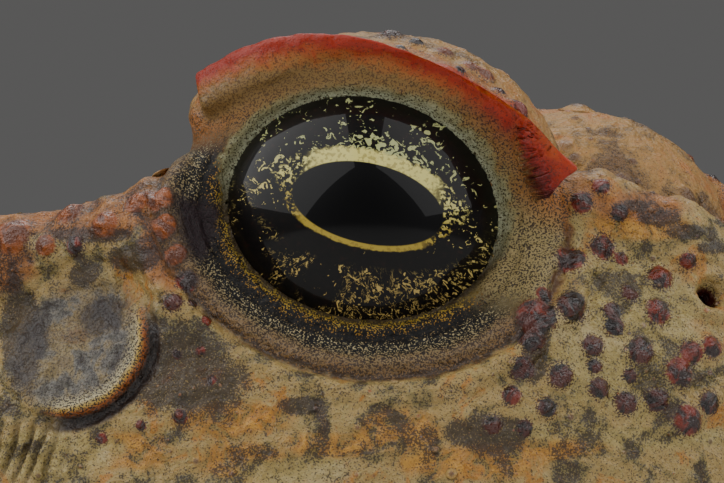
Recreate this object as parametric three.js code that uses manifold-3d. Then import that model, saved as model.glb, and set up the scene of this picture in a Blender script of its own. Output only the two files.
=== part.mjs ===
// A cane toad sitting at rest, life size, as a still model in separate solids.
// Millimetres: X points to the snout, Y to the toad's left, Z up, with the floor at Z = 0.
import * as THREE from "three";
import { mergeVertices } from "three/addons/utils/BufferGeometryUtils.js";
import Module from "manifold-3d";

const wasm = await Module();
wasm.setup();

// Driving sizes
const GAP = 0.3; // between solids that touch
const MIRROR = { left: 1, right: -1 };

const EYE = {
  centre: [44.0, 13.2, 57.5], // on the left side; the right side mirrors it
  radius: 6.9,
  forwardDeg: 22, // how far the optical axis turns from straight out towards the snout
  openingHalfWidth: 6.1,
  openingHalfHeight: 4.95,
  openingTiltDeg: 14, // the opening's front end is the lower one
  openingDepth: 12, // of the cut that opens the lids
  bulgeRadius: 7.8,
};
const UPPER_LID = { centre: [45.2, 11.4, 58.0], half: [9.4, 7.3, 7.8] };
// The keel round the upper lid: its outer edge from the rear corner to the front point, and the foot
// of the flat face that hangs from that edge.
const KEEL = {
  edge: [
    [38.2, 17.9, 63.7],
    [40.4, 18.6, 64.9],
    [43.4, 18.8, 65.45],
    [46.9, 18.1, 65.1],
    [50.2, 16.95, 63.7],
    [53.0, 15.8, 61.75],
    [54.7, 14.5, 59.6],
  ],
  foot: [
    [38.5, 18.2, 62.8],
    [40.9, 18.8, 63.45],
    [43.7, 18.9, 63.7],
    [47.0, 18.2, 63.5],
    [49.9, 17.2, 62.35],
    [51.9, 16.2, 60.6],
    [53.4, 14.9, 58.1],
  ],
  skin: 0.35, // how far the surface stands outside these lines
  depth: 3.2, // how far the keel reaches back into the lid
};
const EAR = { centre: [34.9, 22.9, 51.9], radius: 3.1, backDeg: 12, upDeg: 7, rim: 0.6 };
const NOSTRIL = { centre: [58.6, 8.4, 54.2], radius: 0.7, depth: 1.6, towards: [0.66, 0.7, 0.3] };
const MOUTH_GAP = 0.4;
// Each lip is a rod let into the head beside the mouth line, at these stations and at the snout's tip.
const LIP = { stations: [31, 36, 42, 48, 54, 58, 61], front: 62.4, rise: 0.95, radius: 1.3, proud: 0.45 };
// The mouth line from in front of the snout to the jaw's angle, then down behind the jaw: [x, z].
const MOUTH_LINE = [
  [70, 44.3],
  [62, 43.7],
  [50, 43.3],
  [39, 43.4],
  [32, 42.4],
  [28, 39.6],
  [26, 35.5],
  [24.6, 20],
];
const NECK = { top: [26.2, 60], foot: [23.4, 20] }; // [x, z] of two points on the neck's cut
const NECK_BLEND = 4; // width over which the head flows into the trunk
const NECK_AXIS = { from: 6, to: 28 }; // stretch over which the trunk's axis rises to the head's
// The poison gland behind the ear: an egg with its long axis along the shoulder.
const GLAND = {
  centre: [8.6, 21.2, 46.0],
  half: [18.4, 10.0, 8.2], // along, down the side, outwards
  dropDeg: 17, // its back end lies lower than its front end
  spreadDeg: 9, // and further from the middle
  leanDeg: 42, // how far its outer face turns from straight up to the side
  backSwell: 0.2, // its back end is this much wider
};

// Sections across the head and the trunk, from the back forwards.
// mid is the level of the greatest width; the exponents square the section above and below it.
const section = (x, half, top, low, mid, above, below) => ({ x, half, top, low, mid, above, below });
const HEAD = [
  section(14.0, 17.0, 52.0, 38.0, 45.0, 2.4, 2.2),
  section(22.0, 21.5, 56.6, 33.0, 45.0, 2.6, 2.2),
  section(30.0, 23.4, 58.6, 33.4, 45.0, 2.9, 2.3),
  section(38.0, 22.6, 60.2, 34.6, 45.2, 3.1, 2.4),
  section(46.0, 20.2, 60.4, 36.0, 45.4, 3.2, 2.5),
  section(52.0, 16.9, 59.4, 37.2, 45.8, 3.2, 2.5),
  section(57.0, 12.9, 58.0, 38.6, 46.4, 3.0, 2.5),
  section(60.5, 9.0, 56.2, 40.2, 47.2, 2.8, 2.4),
  section(62.6, 5.2, 54.0, 42.4, 48.2, 2.5, 2.3),
  section(63.6, 1.6, 51.2, 46.2, 49.0, 2.2, 2.2),
];
const TRUNK = [
  section(-53.0, 2.5, 16.0, 10.0, 13.0, 2.0, 2.0),
  section(-50.5, 11.0, 24.0, 4.0, 13.0, 2.0, 2.0),
  section(-44.0, 21.5, 34.0, 0.0, 15.0, 2.1, 2.1),
  section(-34.0, 30.0, 43.5, -1.5, 17.0, 2.2, 2.2),
  section(-20.0, 35.0, 50.0, -1.5, 20.0, 2.2, 2.3),
  section(-4.0, 34.5, 54.0, 0.5, 24.0, 2.2, 2.3),
  section(10.0, 30.0, 56.3, 9.0, 30.0, 2.2, 2.2),
  section(22.0, 23.0, 56.3, 21.0, 38.0, 2.2, 2.2),
  section(30.0, 16.0, 54.0, 33.0, 43.0, 2.2, 2.2),
  section(34.0, 8.0, 49.0, 39.0, 44.0, 2.0, 2.0),
];

// Ridges of the skull under the skin, as rods through these knots.
const RIDGES = {
  snout: {
    knots: [
      [51.0, 12.6, 58.0],
      [54.2, 11.0, 57.9],
      [57.2, 8.6, 56.7],
      [60.8, 5.0, 54.6],
    ],
    radii: [1.6, 1.5, 1.5, 1.1],
  },
  ear: {
    knots: [
      [38.2, 17.4, 58.9],
      [35.6, 19.6, 56.5],
      [27.6, 20.2, 55.4],
    ],
    radii: [1.8, 1.8, 2.4],
  },
  behindEye: {
    knots: [
      [37.6, 18.8, 58.0],
      [38.2, 20.9, 55.8],
      [38.8, 21.3, 53.2],
    ],
    radii: [1.3, 1.2, 1.0],
  },
};

const ARM = {
  shoulder: [17, 16, 36],
  elbow: [9, 32.5, 19],
  wrist: [27, 29.5, 6.6],
  palm: [32.5, 26.5, 3.4],
  radii: { shoulder: 10.4, elbow: 7.4, forearm: 7.2, wrist: 4.9, palm: 4.6 },
  forearmAt: 0.4, // share of the way from elbow to wrist where the forearm's radius is met
  // the fingers' ends, first to fourth
  tips: [
    [34.0, 14.5, 1.2],
    [43.0, 16.5, 1.2],
    [49.5, 24.5, 1.2],
    [42.5, 33.0, 1.2],
  ],
  digitRadii: [2.5, 1.9, 1.8],
};
const LEG = {
  hip: [-37, 11, 21],
  knee: [-9, 41, 16.5],
  heel: [-45, 31, 5.6],
  ankle: [-27, 39.5, 4.2],
  radii: { hip: 15.0, knee: 10.6, calf: 8.8, heel: 6.0, ankle: 4.9 },
  calfAt: 0.35, // share of the way from knee to heel down to which the calf stays full
  tips: [
    [-12, 33.5, 1.2],
    [-5, 38.0, 1.2],
    [1.5, 44.0, 1.2],
    [4.5, 52.5, 1.2],
    [-9, 54.0, 1.2],
  ],
  digitRadii: [3.0, 2.1, 1.8],
  webReach: 0.46, // share of each toe that the web joins
  webNotch: 0.8, // how much of that reach it keeps between two toes
  webThickness: 0.9,
};

// Warts, as how many and their least and greatest radius, over a stretch of the trunk, head or limb.
const WARTS = {
  trunk: { count: 44, from: -46, to: 21, least: 1.5, most: 2.9 },
  head: { count: 14, from: 27, to: 60, least: 0.8, most: 1.4 },
  limb: { count: 4, from: 0.15, to: 0.9, least: 1.1, most: 1.8 },
};
const WART = { rise: 0.72, sunk: 0.25 }; // half height and depth of the root, over its radius
const TRUNK_WART_EDGE = 0.12; // how near the warts come to the widest line, in half turns

// Small maths used by the whole body

const REACH = 60; // further than any of the core's surface lies from its axis
const HALVINGS = 18;
const UP_AXIS = new THREE.Vector3(0, 1, 0); // the axis that three's own round shapes stand on
const vec = (p) => new THREE.Vector3(...p);
const sideways = (p, side) => [p[0], p[1] * side, p[2]];

function blendMin(a, b, width) {
  const h = Math.max(width - Math.abs(a - b), 0) / width;
  return Math.min(a, b) - (h * h * width) / 4;
}

// A smooth value between the sections' stations.
function valueAt(rows, key, x) {
  let i = 0;
  while (i < rows.length - 2 && x > rows[i + 1].x) i++;
  const slope = (k) => {
    if (k === 0) return (rows[1][key] - rows[0][key]) / (rows[1].x - rows[0].x);
    const last = rows.length - 1;
    if (k === last) return (rows[last][key] - rows[last - 1][key]) / (rows[last].x - rows[last - 1].x);
    const before = rows[k].x - rows[k - 1].x;
    const after = rows[k + 1].x - rows[k].x;
    const rise = (rows[k][key] - rows[k - 1][key]) / before;
    const next = (rows[k + 1][key] - rows[k][key]) / after;
    return (rise * after + next * before) / (before + after);
  };
  const h = rows[i + 1].x - rows[i].x;
  const t = Math.min(1, Math.max(0, (x - rows[i].x) / h));
  return (
    (1 + 2 * t) * (1 - t) ** 2 * rows[i][key] +
    t * (1 - t) ** 2 * h * slope(i) +
    t * t * (3 - 2 * t) * rows[i + 1][key] +
    t * t * (t - 1) * h * slope(i + 1)
  );
}

// Distance from a point to a body made of sections along X, below zero inside it.
function sectionsDistance(p, rows) {
  const x = Math.min(rows[rows.length - 1].x, Math.max(rows[0].x, p[0]));
  const mid = valueAt(rows, "mid", x);
  const over = p[2] > mid;
  const height = over ? valueAt(rows, "top", x) - mid : mid - valueAt(rows, "low", x);
  const power = valueAt(rows, over ? "above" : "below", x);
  const rise = Math.abs(p[2] - mid);
  const aside = Math.abs(p[1]) / valueAt(rows, "half", x);
  const share = (aside ** power + (rise / height) ** power) ** (1 / power);
  const reach = Math.hypot(p[1], rise);
  const distance = share < 1e-3 ? -height : reach - reach / share;
  const past = Math.abs(p[0] - x);
  return past > 0 ? Math.hypot(Math.max(distance, 0), past) : distance;
}

// The head and trunk in one, without eyes, lids, glands and limbs.
function coreDistance(p) {
  const q = [p[0], Math.abs(p[1]), p[2]];
  return blendMin(sectionsDistance(q, HEAD), sectionsDistance(q, TRUNK), NECK_BLEND);
}

// The level of the core's axis at station x.
function coreAxis(x) {
  const rear = valueAt(TRUNK, "mid", x);
  const front = valueAt(HEAD, "mid", x);
  const t = Math.min(1, Math.max(0, (x - NECK_AXIS.from) / (NECK_AXIS.to - NECK_AXIS.from)));
  return rear + (front - rear) * t * t * (3 - 2 * t);
}

// How far out a rising function turns from below zero to above it.
function crossing(at) {
  let near = 0;
  let far = 0.5;
  while (at(far) < 0 && far < REACH) {
    near = far;
    far += 1;
  }
  for (let i = 0; i < HALVINGS; i++) {
    const half = (near + far) / 2;
    if (at(half) < 0) near = half;
    else far = half;
  }
  return far;
}

// The core's surface seen from its axis, in the direction turn: 0 is left, a quarter turn is up.
function corePoint(x, turn, offset = 0) {
  const z = coreAxis(x);
  const r = crossing((far) => coreDistance([x, far * Math.cos(turn), z + far * Math.sin(turn)]) - offset);
  return [x, r * Math.cos(turn), z + r * Math.sin(turn)];
}

// Meshes to solids and back

function solidOf(geometry) {
  const bare = new THREE.BufferGeometry().setAttribute("position", geometry.getAttribute("position"));
  if (geometry.index) bare.setIndex(geometry.index);
  const merged = mergeVertices(bare, 1e-4);
  const triVerts = new Uint32Array(merged.index.array);
  const vertProperties = merged.attributes.position.array;
  const build = () => new wasm.Manifold(new wasm.Mesh({ numProp: 3, vertProperties, triVerts }));
  const made = build();
  if (made.volume() > 0) return made;
  for (let i = 0; i < triVerts.length; i += 3) {
    [triVerts[i + 1], triVerts[i + 2]] = [triVerts[i + 2], triVerts[i + 1]];
  }
  return build();
}

function geometryOf(solid) {
  const mesh = solid.getMesh();
  const geometry = new THREE.BufferGeometry();
  geometry.setAttribute("position", new THREE.BufferAttribute(new Float32Array(mesh.vertProperties), 3));
  geometry.setIndex(new THREE.BufferAttribute(new Uint32Array(mesh.triVerts), 1));
  geometry.computeVertexNormals();
  return geometry;
}

// The largest closed piece of a solid, without loose scraps or sealed hollows.
function largest(solid) {
  return solid
    .decompose()
    .filter((piece) => piece.volume() > 0)
    .reduce((best, piece) => (piece.volume() > best.volume() ? piece : best));
}

// A closed tube whose points are given by pointAt(0..1, turn), made by moving a sphere's points.
function loft(rings, sides, pointAt) {
  const ball = new THREE.SphereGeometry(1, sides, rings);
  const place = ball.getAttribute("position");
  const uv = ball.getAttribute("uv");
  for (let i = 0; i < place.count; i++) {
    const along = Math.min(1, Math.max(0, 1 - uv.getY(i)));
    const side = i % (sides + 1) % sides;
    const turn = along === 0 || along === 1 ? 0 : (side / sides) * 2 * Math.PI;
    place.setXYZ(i, ...pointAt(along, turn));
  }
  return solidOf(ball);
}

function ellipsoid(centre, half, sides, rings) {
  const g = new THREE.SphereGeometry(1, sides, rings);
  g.scale(...half).translate(...centre);
  return solidOf(g);
}

// A smooth path through knots with a radius at each: its centre, radius and directions at t.
function limbPath(knots, radii) {
  const curve = new THREE.CatmullRomCurve3(knots.map(vec), false, "centripetal");
  const last = knots.length - 1;
  const up = new THREE.Vector3(0, 0, 1);
  return (t) => {
    const i = Math.min(last - 1, Math.floor(t * last));
    const s = t * last - i;
    const tangent = curve.getTangent(t);
    const across = new THREE.Vector3().crossVectors(up, tangent).normalize();
    return {
      centre: curve.getPoint(t),
      radius: radii[i] + (radii[i + 1] - radii[i]) * s * s * (3 - 2 * s),
      tangent,
      across,
      over: new THREE.Vector3().crossVectors(tangent, across),
    };
  };
}

// A rod with round ends along such a path.
function limb({ knots, radii }, rings, sides, grow = 0) {
  const path = limbPath(knots, radii);
  const cap = 0.2; // share of the rings in each round end
  return loft(rings, sides, (along, turn) => {
    const end = along < cap ? 0 : 1;
    const inCap = along < cap || along > 1 - cap;
    const share = inCap ? Math.abs(along - end) / cap : 1;
    const at = path(inCap ? end : (along - cap) / (1 - 2 * cap));
    const radius = (at.radius + grow) * Math.sin((share * Math.PI) / 2);
    const beyondEnd = (at.radius + grow) * Math.cos((share * Math.PI) / 2) * (end ? 1 : -1);
    return at.centre
      .addScaledVector(at.tangent, inCap ? beyondEnd : 0)
      .addScaledVector(at.across, radius * Math.cos(turn))
      .addScaledVector(at.over, radius * Math.sin(turn))
      .toArray();
  });
}

function joined(solids) {
  return solids.reduce((all, one) => all.add(one));
}

// The solid's part beyond a plane through point, on the side that normal points to, less half a gap.
function beyond(solid, point, normal) {
  const n = normal.clone().normalize();
  return solid.trimByPlane(n.toArray(), n.dot(point) + GAP / 2);
}

const aboveFloor = (solid) => solid.trimByPlane([0, 0, 1], 0);

// Even, repeatable scatter: the k-th point of a sequence that never clumps.
const PLASTIC = 1.2207440846057596;
const spread = (k, axis) => (0.5 + (k + 1) / PLASTIC ** axis) % 1;

// The core, wrapped ring by ring from the vent to the snout

const CORE_SIDES = 32;
const VENT = [-53.3, 0, 13];
const SNOUT_TIP = [63.9, 0, 49];
// Stretches between rings along X, each with its number of rings, closer where the form turns fast.
const RING_RUNS = [
  [-52.9, -44, 3],
  [-44, 22, 12],
  [22, 56, 10],
  [56, 63.4, 4],
];

function stations() {
  const list = RING_RUNS.flatMap(([from, to, steps]) =>
    Array.from({ length: steps }, (_, i) => from + ((to - from) * i) / steps),
  );
  return [...list, RING_RUNS.at(-1)[1]];
}

function wrapCore(offset) {
  const xs = stations();
  const rings = xs.length + 1;
  return loft(rings, CORE_SIDES, (along, turn) => {
    const k = Math.round(along * rings);
    if (k === 0) return [VENT[0] - offset, VENT[1], VENT[2]];
    if (k === rings) return [SNOUT_TIP[0] + offset, SNOUT_TIP[1], SNOUT_TIP[2]];
    return corePoint(xs[k - 1], turn, offset);
  });
}

// A low dome whose root is sunk in the skin at a point, rising along normal.
function wart(point, normal, radius) {
  const dome = new THREE.SphereGeometry(radius, 6, 3);
  dome.scale(1, WART.rise, 1);
  dome.applyQuaternion(new THREE.Quaternion().setFromUnitVectors(UP_AXIS, normal));
  dome.translate(...point.clone().addScaledVector(normal, -radius * WART.sunk).toArray());
  return solidOf(dome);
}

// Steps either way on the surface that find its slope.
const PROBE = { along: 0.8, turn: 0.03 };

function coreWarts({ count, from, to, least, most }, leastTurn, mostTurn, keep = () => true) {
  const made = [];
  for (let k = 0; k < count; k++) {
    const x = from + (to - from) * spread(k, 1);
    const turn = leastTurn + (mostTurn - leastTurn) * spread(k, 2);
    const point = vec(corePoint(x, turn));
    const along = vec(corePoint(x + PROBE.along, turn)).sub(vec(corePoint(x - PROBE.along, turn)));
    const around = vec(corePoint(x, turn + PROBE.turn)).sub(vec(corePoint(x, turn - PROBE.turn)));
    const normal = around.cross(along).normalize();
    if (keep(point)) made.push(wart(point, normal, least + (most - least) * spread(k, 3)));
  }
  return made;
}

const LIMB_WART_SPREAD = 0.75 * Math.PI; // how far round the upper side of a limb they stand

function limbWarts({ knots, radii }, side, { count, from, to, least, most }) {
  const path = limbPath(knots, radii);
  const made = [];
  for (let k = 0; k < count; k++) {
    const at = path(from + (to - from) * spread(k, 2));
    const turn = Math.PI / 2 + LIMB_WART_SPREAD * (spread(k, 1) - 0.5);
    const normal = at.over.clone().multiplyScalar(Math.sin(turn));
    normal.addScaledVector(at.across, -side * Math.cos(turn));
    const point = at.centre.clone().addScaledVector(normal, at.radius);
    made.push(wart(point, normal, least + (most - least) * spread(k, 3)));
  }
  return made;
}

// Around the eye

const deg = THREE.MathUtils.degToRad;

function opticalAxis(side) {
  const a = deg(EYE.forwardDeg);
  return new THREE.Vector3(Math.sin(a), side * Math.cos(a), 0);
}

function eyeOpening(side) {
  const axis = opticalAxis(side);
  const hole = new THREE.CylinderGeometry(1, 1, EYE.openingDepth, 20);
  hole.rotateX(Math.PI / 2); // along Z
  hole.scale(EYE.openingHalfWidth, EYE.openingHalfHeight, 1);
  hole.rotateZ(side * deg(EYE.openingTiltDeg));
  hole.rotateX(Math.PI / 2).rotateZ(Math.PI); // along Y, with its width along X
  hole.rotateZ(-side * deg(EYE.forwardDeg));
  const centre = vec(sideways(EYE.centre, side)).addScaledVector(axis, 1 + EYE.openingDepth / 2);
  hole.translate(...centre.toArray());
  return solidOf(hole);
}

function keel(side) {
  const line = (points) => new THREE.CatmullRomCurve3(points.map((p) => vec(sideways(p, side))));
  const [edge, foot] = [line(KEEL.edge), line(KEEL.foot)];
  const centre = vec(sideways(EYE.centre, side));
  const outward = opticalAxis(side).multiplyScalar(KEEL.skin);
  const corners = 5;
  const rings = 11;
  return loft(rings, corners, (along, turn) => {
    const t = Math.min(1, Math.max(0, (along - 1 / rings) / (1 - 2 / rings)));
    const [top, low] = [edge.getPoint(t), foot.getPoint(t)];
    const back = (p) => p.clone().addScaledVector(centre.clone().sub(p).normalize(), KEEL.depth);
    if (along <= 0 || along >= 1) return back(top).add(low).multiplyScalar(0.5).toArray();
    const around = [
      top.clone().add(new THREE.Vector3(0, 0, KEEL.skin)),
      top.clone().add(outward),
      low.clone().add(outward),
      back(low),
      back(top),
    ];
    return around[Math.round((turn / (2 * Math.PI)) * corners) % corners].toArray();
  });
}

function eyelids(side) {
  return joined([
    ellipsoid(sideways(EYE.centre, side), Array(3).fill(EYE.bulgeRadius), 14, 9),
    ellipsoid(sideways(UPPER_LID.centre, side), UPPER_LID.half, 14, 8),
    keel(side),
  ]);
}

function earDirection(side) {
  const a = deg(EAR.backDeg);
  return new THREE.Vector3(-Math.sin(a), side * Math.cos(a), Math.tan(deg(EAR.upDeg))).normalize();
}

// A disc-like solid of revolution about the ear's axis, from a profile of radius and height.
function earTurned(profile, side) {
  const points = profile.map(([r, h]) => new THREE.Vector2(r, h));
  const g = new THREE.LatheGeometry(points, 14);
  g.applyQuaternion(new THREE.Quaternion().setFromUnitVectors(UP_AXIS, earDirection(side)));
  g.translate(...sideways(EAR.centre, side));
  return solidOf(g);
}
const EAR_RIM = [
  [0, -2.5],
  [EAR.radius + 0.9, -2.5],
  [EAR.radius + 0.8, 0.1],
  [EAR.radius + 0.35, EAR.rim],
  [EAR.radius, 0.3],
  [0, 0.2],
];
const EAR_WELL = [
  [0, -0.6 - GAP],
  [EAR.radius, -0.6 - GAP],
  [EAR.radius, 2],
  [0, 2],
];
const EARDRUM = [
  [0, -0.6],
  [EAR.radius - GAP, -0.6],
  [EAR.radius - GAP, 0.15],
  [EAR.radius * 0.75, 0.25],
  [EAR.radius * 0.35, 0.05],
  [0, 0.1],
];

function nostril(side) {
  const g = new THREE.CylinderGeometry(NOSTRIL.radius, NOSTRIL.radius * 0.6, NOSTRIL.depth * 2, 10);
  const towards = vec(sideways(NOSTRIL.towards, side)).normalize();
  g.applyQuaternion(new THREE.Quaternion().setFromUnitVectors(UP_AXIS, towards));
  g.translate(...sideways(NOSTRIL.centre, side));
  return solidOf(g);
}

// The level of the mouth line at station x.
function mouthLevel(x) {
  const k = MOUTH_LINE.findIndex(([at]) => at < x);
  const [[x1, z1], [x0, z0]] = [MOUTH_LINE[k - 1], MOUTH_LINE[k]];
  return z0 + ((z1 - z0) * (x - x0)) / (x1 - x0);
}

// One side's upper or lower lip, above the mouth line where over is 1 and below it where it is -1.
function lip(side, over) {
  const sunk = LIP.radius - LIP.proud;
  const along = LIP.stations.map((x) => {
    const z = mouthLevel(x) + over * LIP.rise;
    return [x, side * (crossing((y) => coreDistance([x, y, z])) - sunk), z];
  });
  const knots = [...along, [LIP.front - sunk, 0, mouthLevel(LIP.front) + over * LIP.rise]];
  return limb({ knots, radii: knots.map((_, i) => (i === 0 ? LIP.radius / 2 : LIP.radius)) }, 14, 6);
}

// A thin sheet along the mouth line, as wide as the head and more.
function mouthSheet() {
  const line = new THREE.CatmullRomCurve3(MOUTH_LINE.map(([x, z]) => new THREE.Vector3(x, z, 0)));
  const steps = 16;
  const width = 80;
  const edge = (offset) =>
    line.getPoints(steps).map((p, i) => {
      const t = line.getTangent(i / steps);
      return new THREE.Vector2(p.x - t.y * offset, p.y + t.x * offset);
    });
  const outline = new THREE.Shape([...edge(MOUTH_GAP / 2), ...edge(-MOUTH_GAP / 2).reverse()]);
  const g = new THREE.ExtrudeGeometry(outline, { depth: width, bevelEnabled: false });
  g.translate(0, 0, -width / 2).rotateX(Math.PI / 2);
  return solidOf(g);
}

function gland(side, grow = 0) {
  const { centre, half, dropDeg, spreadDeg, leanDeg, backSwell } = GLAND;
  const egg = new THREE.SphereGeometry(1, 16, 10);
  const place = egg.getAttribute("position");
  for (let i = 0; i < place.count; i++) {
    const [u, v, w] = [place.getX(i), place.getY(i), place.getZ(i)];
    const swell = 1 - backSwell * u;
    place.setXYZ(i, u * (half[0] + grow), v * (half[1] + grow) * swell, w * (half[2] + grow) * swell);
  }
  egg.rotateX(-side * deg(leanDeg)).rotateY(-deg(dropDeg)).rotateZ(-side * deg(spreadDeg));
  egg.translate(...sideways(centre, side));
  return solidOf(egg);
}

// The limbs

const KNUCKLE_RISE = 0.5; // how far a digit arches over its ends

function digits(root, tips, radii, side) {
  return tips.map((tip) => {
    const [a, b] = [sideways(root, side), sideways(tip, side)];
    const middle = a.map((value, i) => (value + b[i]) / 2 + (i === 2 ? KNUCKLE_RISE : 0));
    return limb({ knots: [a, middle, b], radii }, 8, 6);
  });
}

// The plane that halves the bend at knot, as its point and a normal towards the later knots.
function bendPlane(before, knot, after) {
  const inward = vec(knot).sub(vec(before)).normalize();
  const outward = vec(after).sub(vec(knot)).normalize();
  return [vec(knot), inward.add(outward).normalize()];
}

function armParts(side) {
  const joints = [ARM.shoulder, ARM.elbow, ARM.wrist, ARM.palm];
  const [shoulder, elbow, wrist, palm] = joints.map((p) => sideways(p, side));
  const r = ARM.radii;
  const belly = elbow.map((value, i) => value + ARM.forearmAt * (wrist[i] - value));
  const paths = {
    upper: { knots: [shoulder, elbow], radii: [r.shoulder, r.elbow] },
    fore: { knots: [elbow, belly, wrist], radii: [r.elbow, r.forearm, r.wrist] },
    hand: { knots: [wrist, palm], radii: [r.wrist, r.palm] },
  };
  const upper = limb(paths.upper, 10, 14);
  const fore = limb(paths.fore, 12, 14);
  const hand = joined([limb(paths.hand, 8, 12), ...digits(ARM.palm, ARM.tips, ARM.digitRadii, side)]);
  const [elbowPoint, elbowNormal] = bendPlane(shoulder, elbow, wrist);
  const [wristPoint, wristNormal] = [vec(wrist), vec(wrist).sub(vec(elbow))];
  const back = (normal) => normal.clone().negate();
  const warty = joined([fore, upper, ...limbWarts(paths.fore, side, WARTS.limb)]);
  return {
    upper_arm: beyond(upper.add(fore), elbowPoint, back(elbowNormal)),
    forearm: beyond(beyond(warty, elbowPoint, elbowNormal), wristPoint, back(wristNormal)),
    hand: beyond(hand.add(fore), wristPoint, wristNormal),
    clear: limb(paths.upper, 10, 14, GAP),
  };
}

// The web between the toes, a thin plate just above the floor.
function web(side) {
  const root = new THREE.Vector2(LEG.ankle[0], LEG.ankle[1] * side);
  const toward = (tip, share) => root.clone().lerp(new THREE.Vector2(tip[0], tip[1] * side), share);
  const points = [root];
  const notch = LEG.webReach * LEG.webNotch;
  LEG.tips.forEach((tip, i) => {
    points.push(toward(tip, LEG.webReach));
    const next = LEG.tips[i + 1];
    if (next) points.push(toward(tip, notch).lerp(toward(next, notch), 0.5));
  });
  const outline = new THREE.Shape(points);
  const plate = new THREE.ExtrudeGeometry(outline, { depth: LEG.webThickness, bevelEnabled: false });
  plate.translate(0, 0, LEG.webThickness / 2);
  return solidOf(plate);
}

function legParts(side) {
  const joints = [LEG.hip, LEG.knee, LEG.heel, LEG.ankle];
  const [hip, knee, heel, ankle] = joints.map((p) => sideways(p, side));
  const r = LEG.radii;
  const calf = knee.map((value, i) => value + LEG.calfAt * (heel[i] - value));
  const paths = {
    thigh: { knots: [hip, knee], radii: [r.hip, r.knee] },
    shank: { knots: [knee, calf, heel], radii: [r.calf, r.calf, r.heel] },
    tarsus: { knots: [heel, ankle], radii: [r.heel, r.ankle] },
  };
  const thigh = limb(paths.thigh, 10, 16);
  const thighClear = limb(paths.thigh, 10, 16, GAP);
  const shank = limb(paths.shank, 12, 14);
  const shankClear = limb(paths.shank, 12, 14, GAP);
  const toes = digits(LEG.ankle, LEG.tips, LEG.digitRadii, side);
  const foot = joined([limb(paths.tarsus, 8, 12), web(side), ...toes]);
  const wartyThigh = joined([thigh, ...limbWarts(paths.thigh, side, WARTS.limb)]);
  return {
    thigh: wartyThigh.subtract(shankClear.subtract(thigh)),
    shank: joined([shank, ...limbWarts(paths.shank, side, WARTS.limb)]).subtract(thighClear),
    foot: foot.subtract(shankClear).subtract(thighClear),
    clear: thighClear,
  };
}

// Putting the toad together

const COLOURS = {
  skin: [0x8a7048, 0.62],
  pale: [0xb59a63, 0.6],
  gland: [0x7d5f3c, 0.6],
  drum: [0x6f6a58, 0.45],
  eye: [0x0b0a08, 0.08],
};

function finish(name) {
  const [color, roughness] = COLOURS[name];
  return new THREE.MeshStandardMaterial({ name, color, roughness, metalness: 0 });
}

const toad = new THREE.Group();
const solids = new Map();
function put(name, solid, colour) {
  solids.set(name, [largest(aboveFloor(solid)), colour]);
}

const core = wrapCore(0);
const coreClear = wrapCore(GAP);
const sides = Object.entries(MIRROR);

const neckPoint = new THREE.Vector3(NECK.top[0], 0, NECK.top[1]);
const neckNormal = new THREE.Vector3(NECK.top[1] - NECK.foot[1], 0, NECK.foot[0] - NECK.top[0]);

// Head, parted from the lower jaw along the mouth; lids and eyes leave no room for warts
const LIDS = { from: 34, to: 57, below: 46, between: 3 };
const awayFromLids = ({ x, y, z }) =>
  x < LIDS.from || x > LIDS.to || z < LIDS.below || Math.abs(y) < LIDS.between;
const headWarts = coreWarts(WARTS.head, 0, Math.PI, awayFromLids);
const ridge = ({ knots, radii }, s) => limb({ knots: knots.map((p) => sideways(p, s)), radii }, 7, 6);
const ridges = sides.flatMap(([, s]) => Object.values(RIDGES).map((one) => ridge(one, s)));
const bothSides = sides.flatMap(([, s]) => [eyelids(s), earTurned(EAR_RIM, s), lip(s, 1), lip(s, -1)]);
let skull = joined([beyond(core, neckPoint, neckNormal), ...ridges, ...headWarts, ...bothSides]);
for (const [, s] of sides) {
  const socket = ellipsoid(sideways(EYE.centre, s), Array(3).fill(EYE.radius + GAP), 14, 9);
  skull = skull.subtract(joined([socket, eyeOpening(s), earTurned(EAR_WELL, s), nostril(s)]));
}
skull = beyond(skull, neckPoint, neckNormal).subtract(mouthSheet());
const upperFirst = skull
  .decompose()
  .sort((a, b) => b.volume() - a.volume())
  .slice(0, 2)
  .sort((a, b) => b.boundingBox().max[2] - a.boundingBox().max[2]);
put("head", upperFirst[0], "skin");
put("lower_jaw", upperFirst[1], "pale");

// Eyes, eardrums, glands and limbs, both sides
const beside = [];
const behindNeck = neckNormal.clone().negate();
for (const [name, s] of sides) {
  put(`eye_${name}`, ellipsoid(sideways(EYE.centre, s), Array(3).fill(EYE.radius), 16, 10), "eye");
  put(`tympanum_${name}`, earTurned(EARDRUM, s), "drum");
  put(`parotoid_${name}`, beyond(gland(s).subtract(coreClear), neckPoint, behindNeck), "gland");
  const arm = armParts(s);
  const leg = legParts(s);
  for (const part of ["upper_arm", "forearm", "hand"]) {
    put(`${part}_${name}`, arm[part].subtract(coreClear).subtract(gland(s, GAP)), "skin");
  }
  for (const part of ["thigh", "shank", "foot"]) {
    put(`${part}_${name}`, leg[part].subtract(coreClear), "skin");
  }
  beside.push(gland(s, GAP), arm.clear, leg.clear);
}

// Trunk, with warts wherever no gland or limb covers it
const leastTurn = TRUNK_WART_EDGE * Math.PI;
const trunkWarts = joined(coreWarts(WARTS.trunk, leastTurn, Math.PI - leastTurn));
put("torso", beyond(core, neckPoint, behindNeck).add(trunkWarts.subtract(joined(beside))), "skin");

// The part's frame stands at the middle of its footprint, on the floor.
const box = new THREE.Box3();
for (const [solid] of solids.values()) {
  const { min, max } = solid.boundingBox();
  box.union(new THREE.Box3(vec(min), vec(max)));
}
for (const [name, [solid, colour]] of solids) {
  const mesh = new THREE.Mesh(geometryOf(solid), finish(colour));
  mesh.name = name;
  mesh.position.set(-(box.min.x + box.max.x) / 2, -(box.min.y + box.max.y) / 2, -box.min.z);
  toad.add(mesh);
}

export default toad;
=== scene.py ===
import functools
import math

import bpy
import numpy as np
from mathutils import Matrix, Vector, noise


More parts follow.
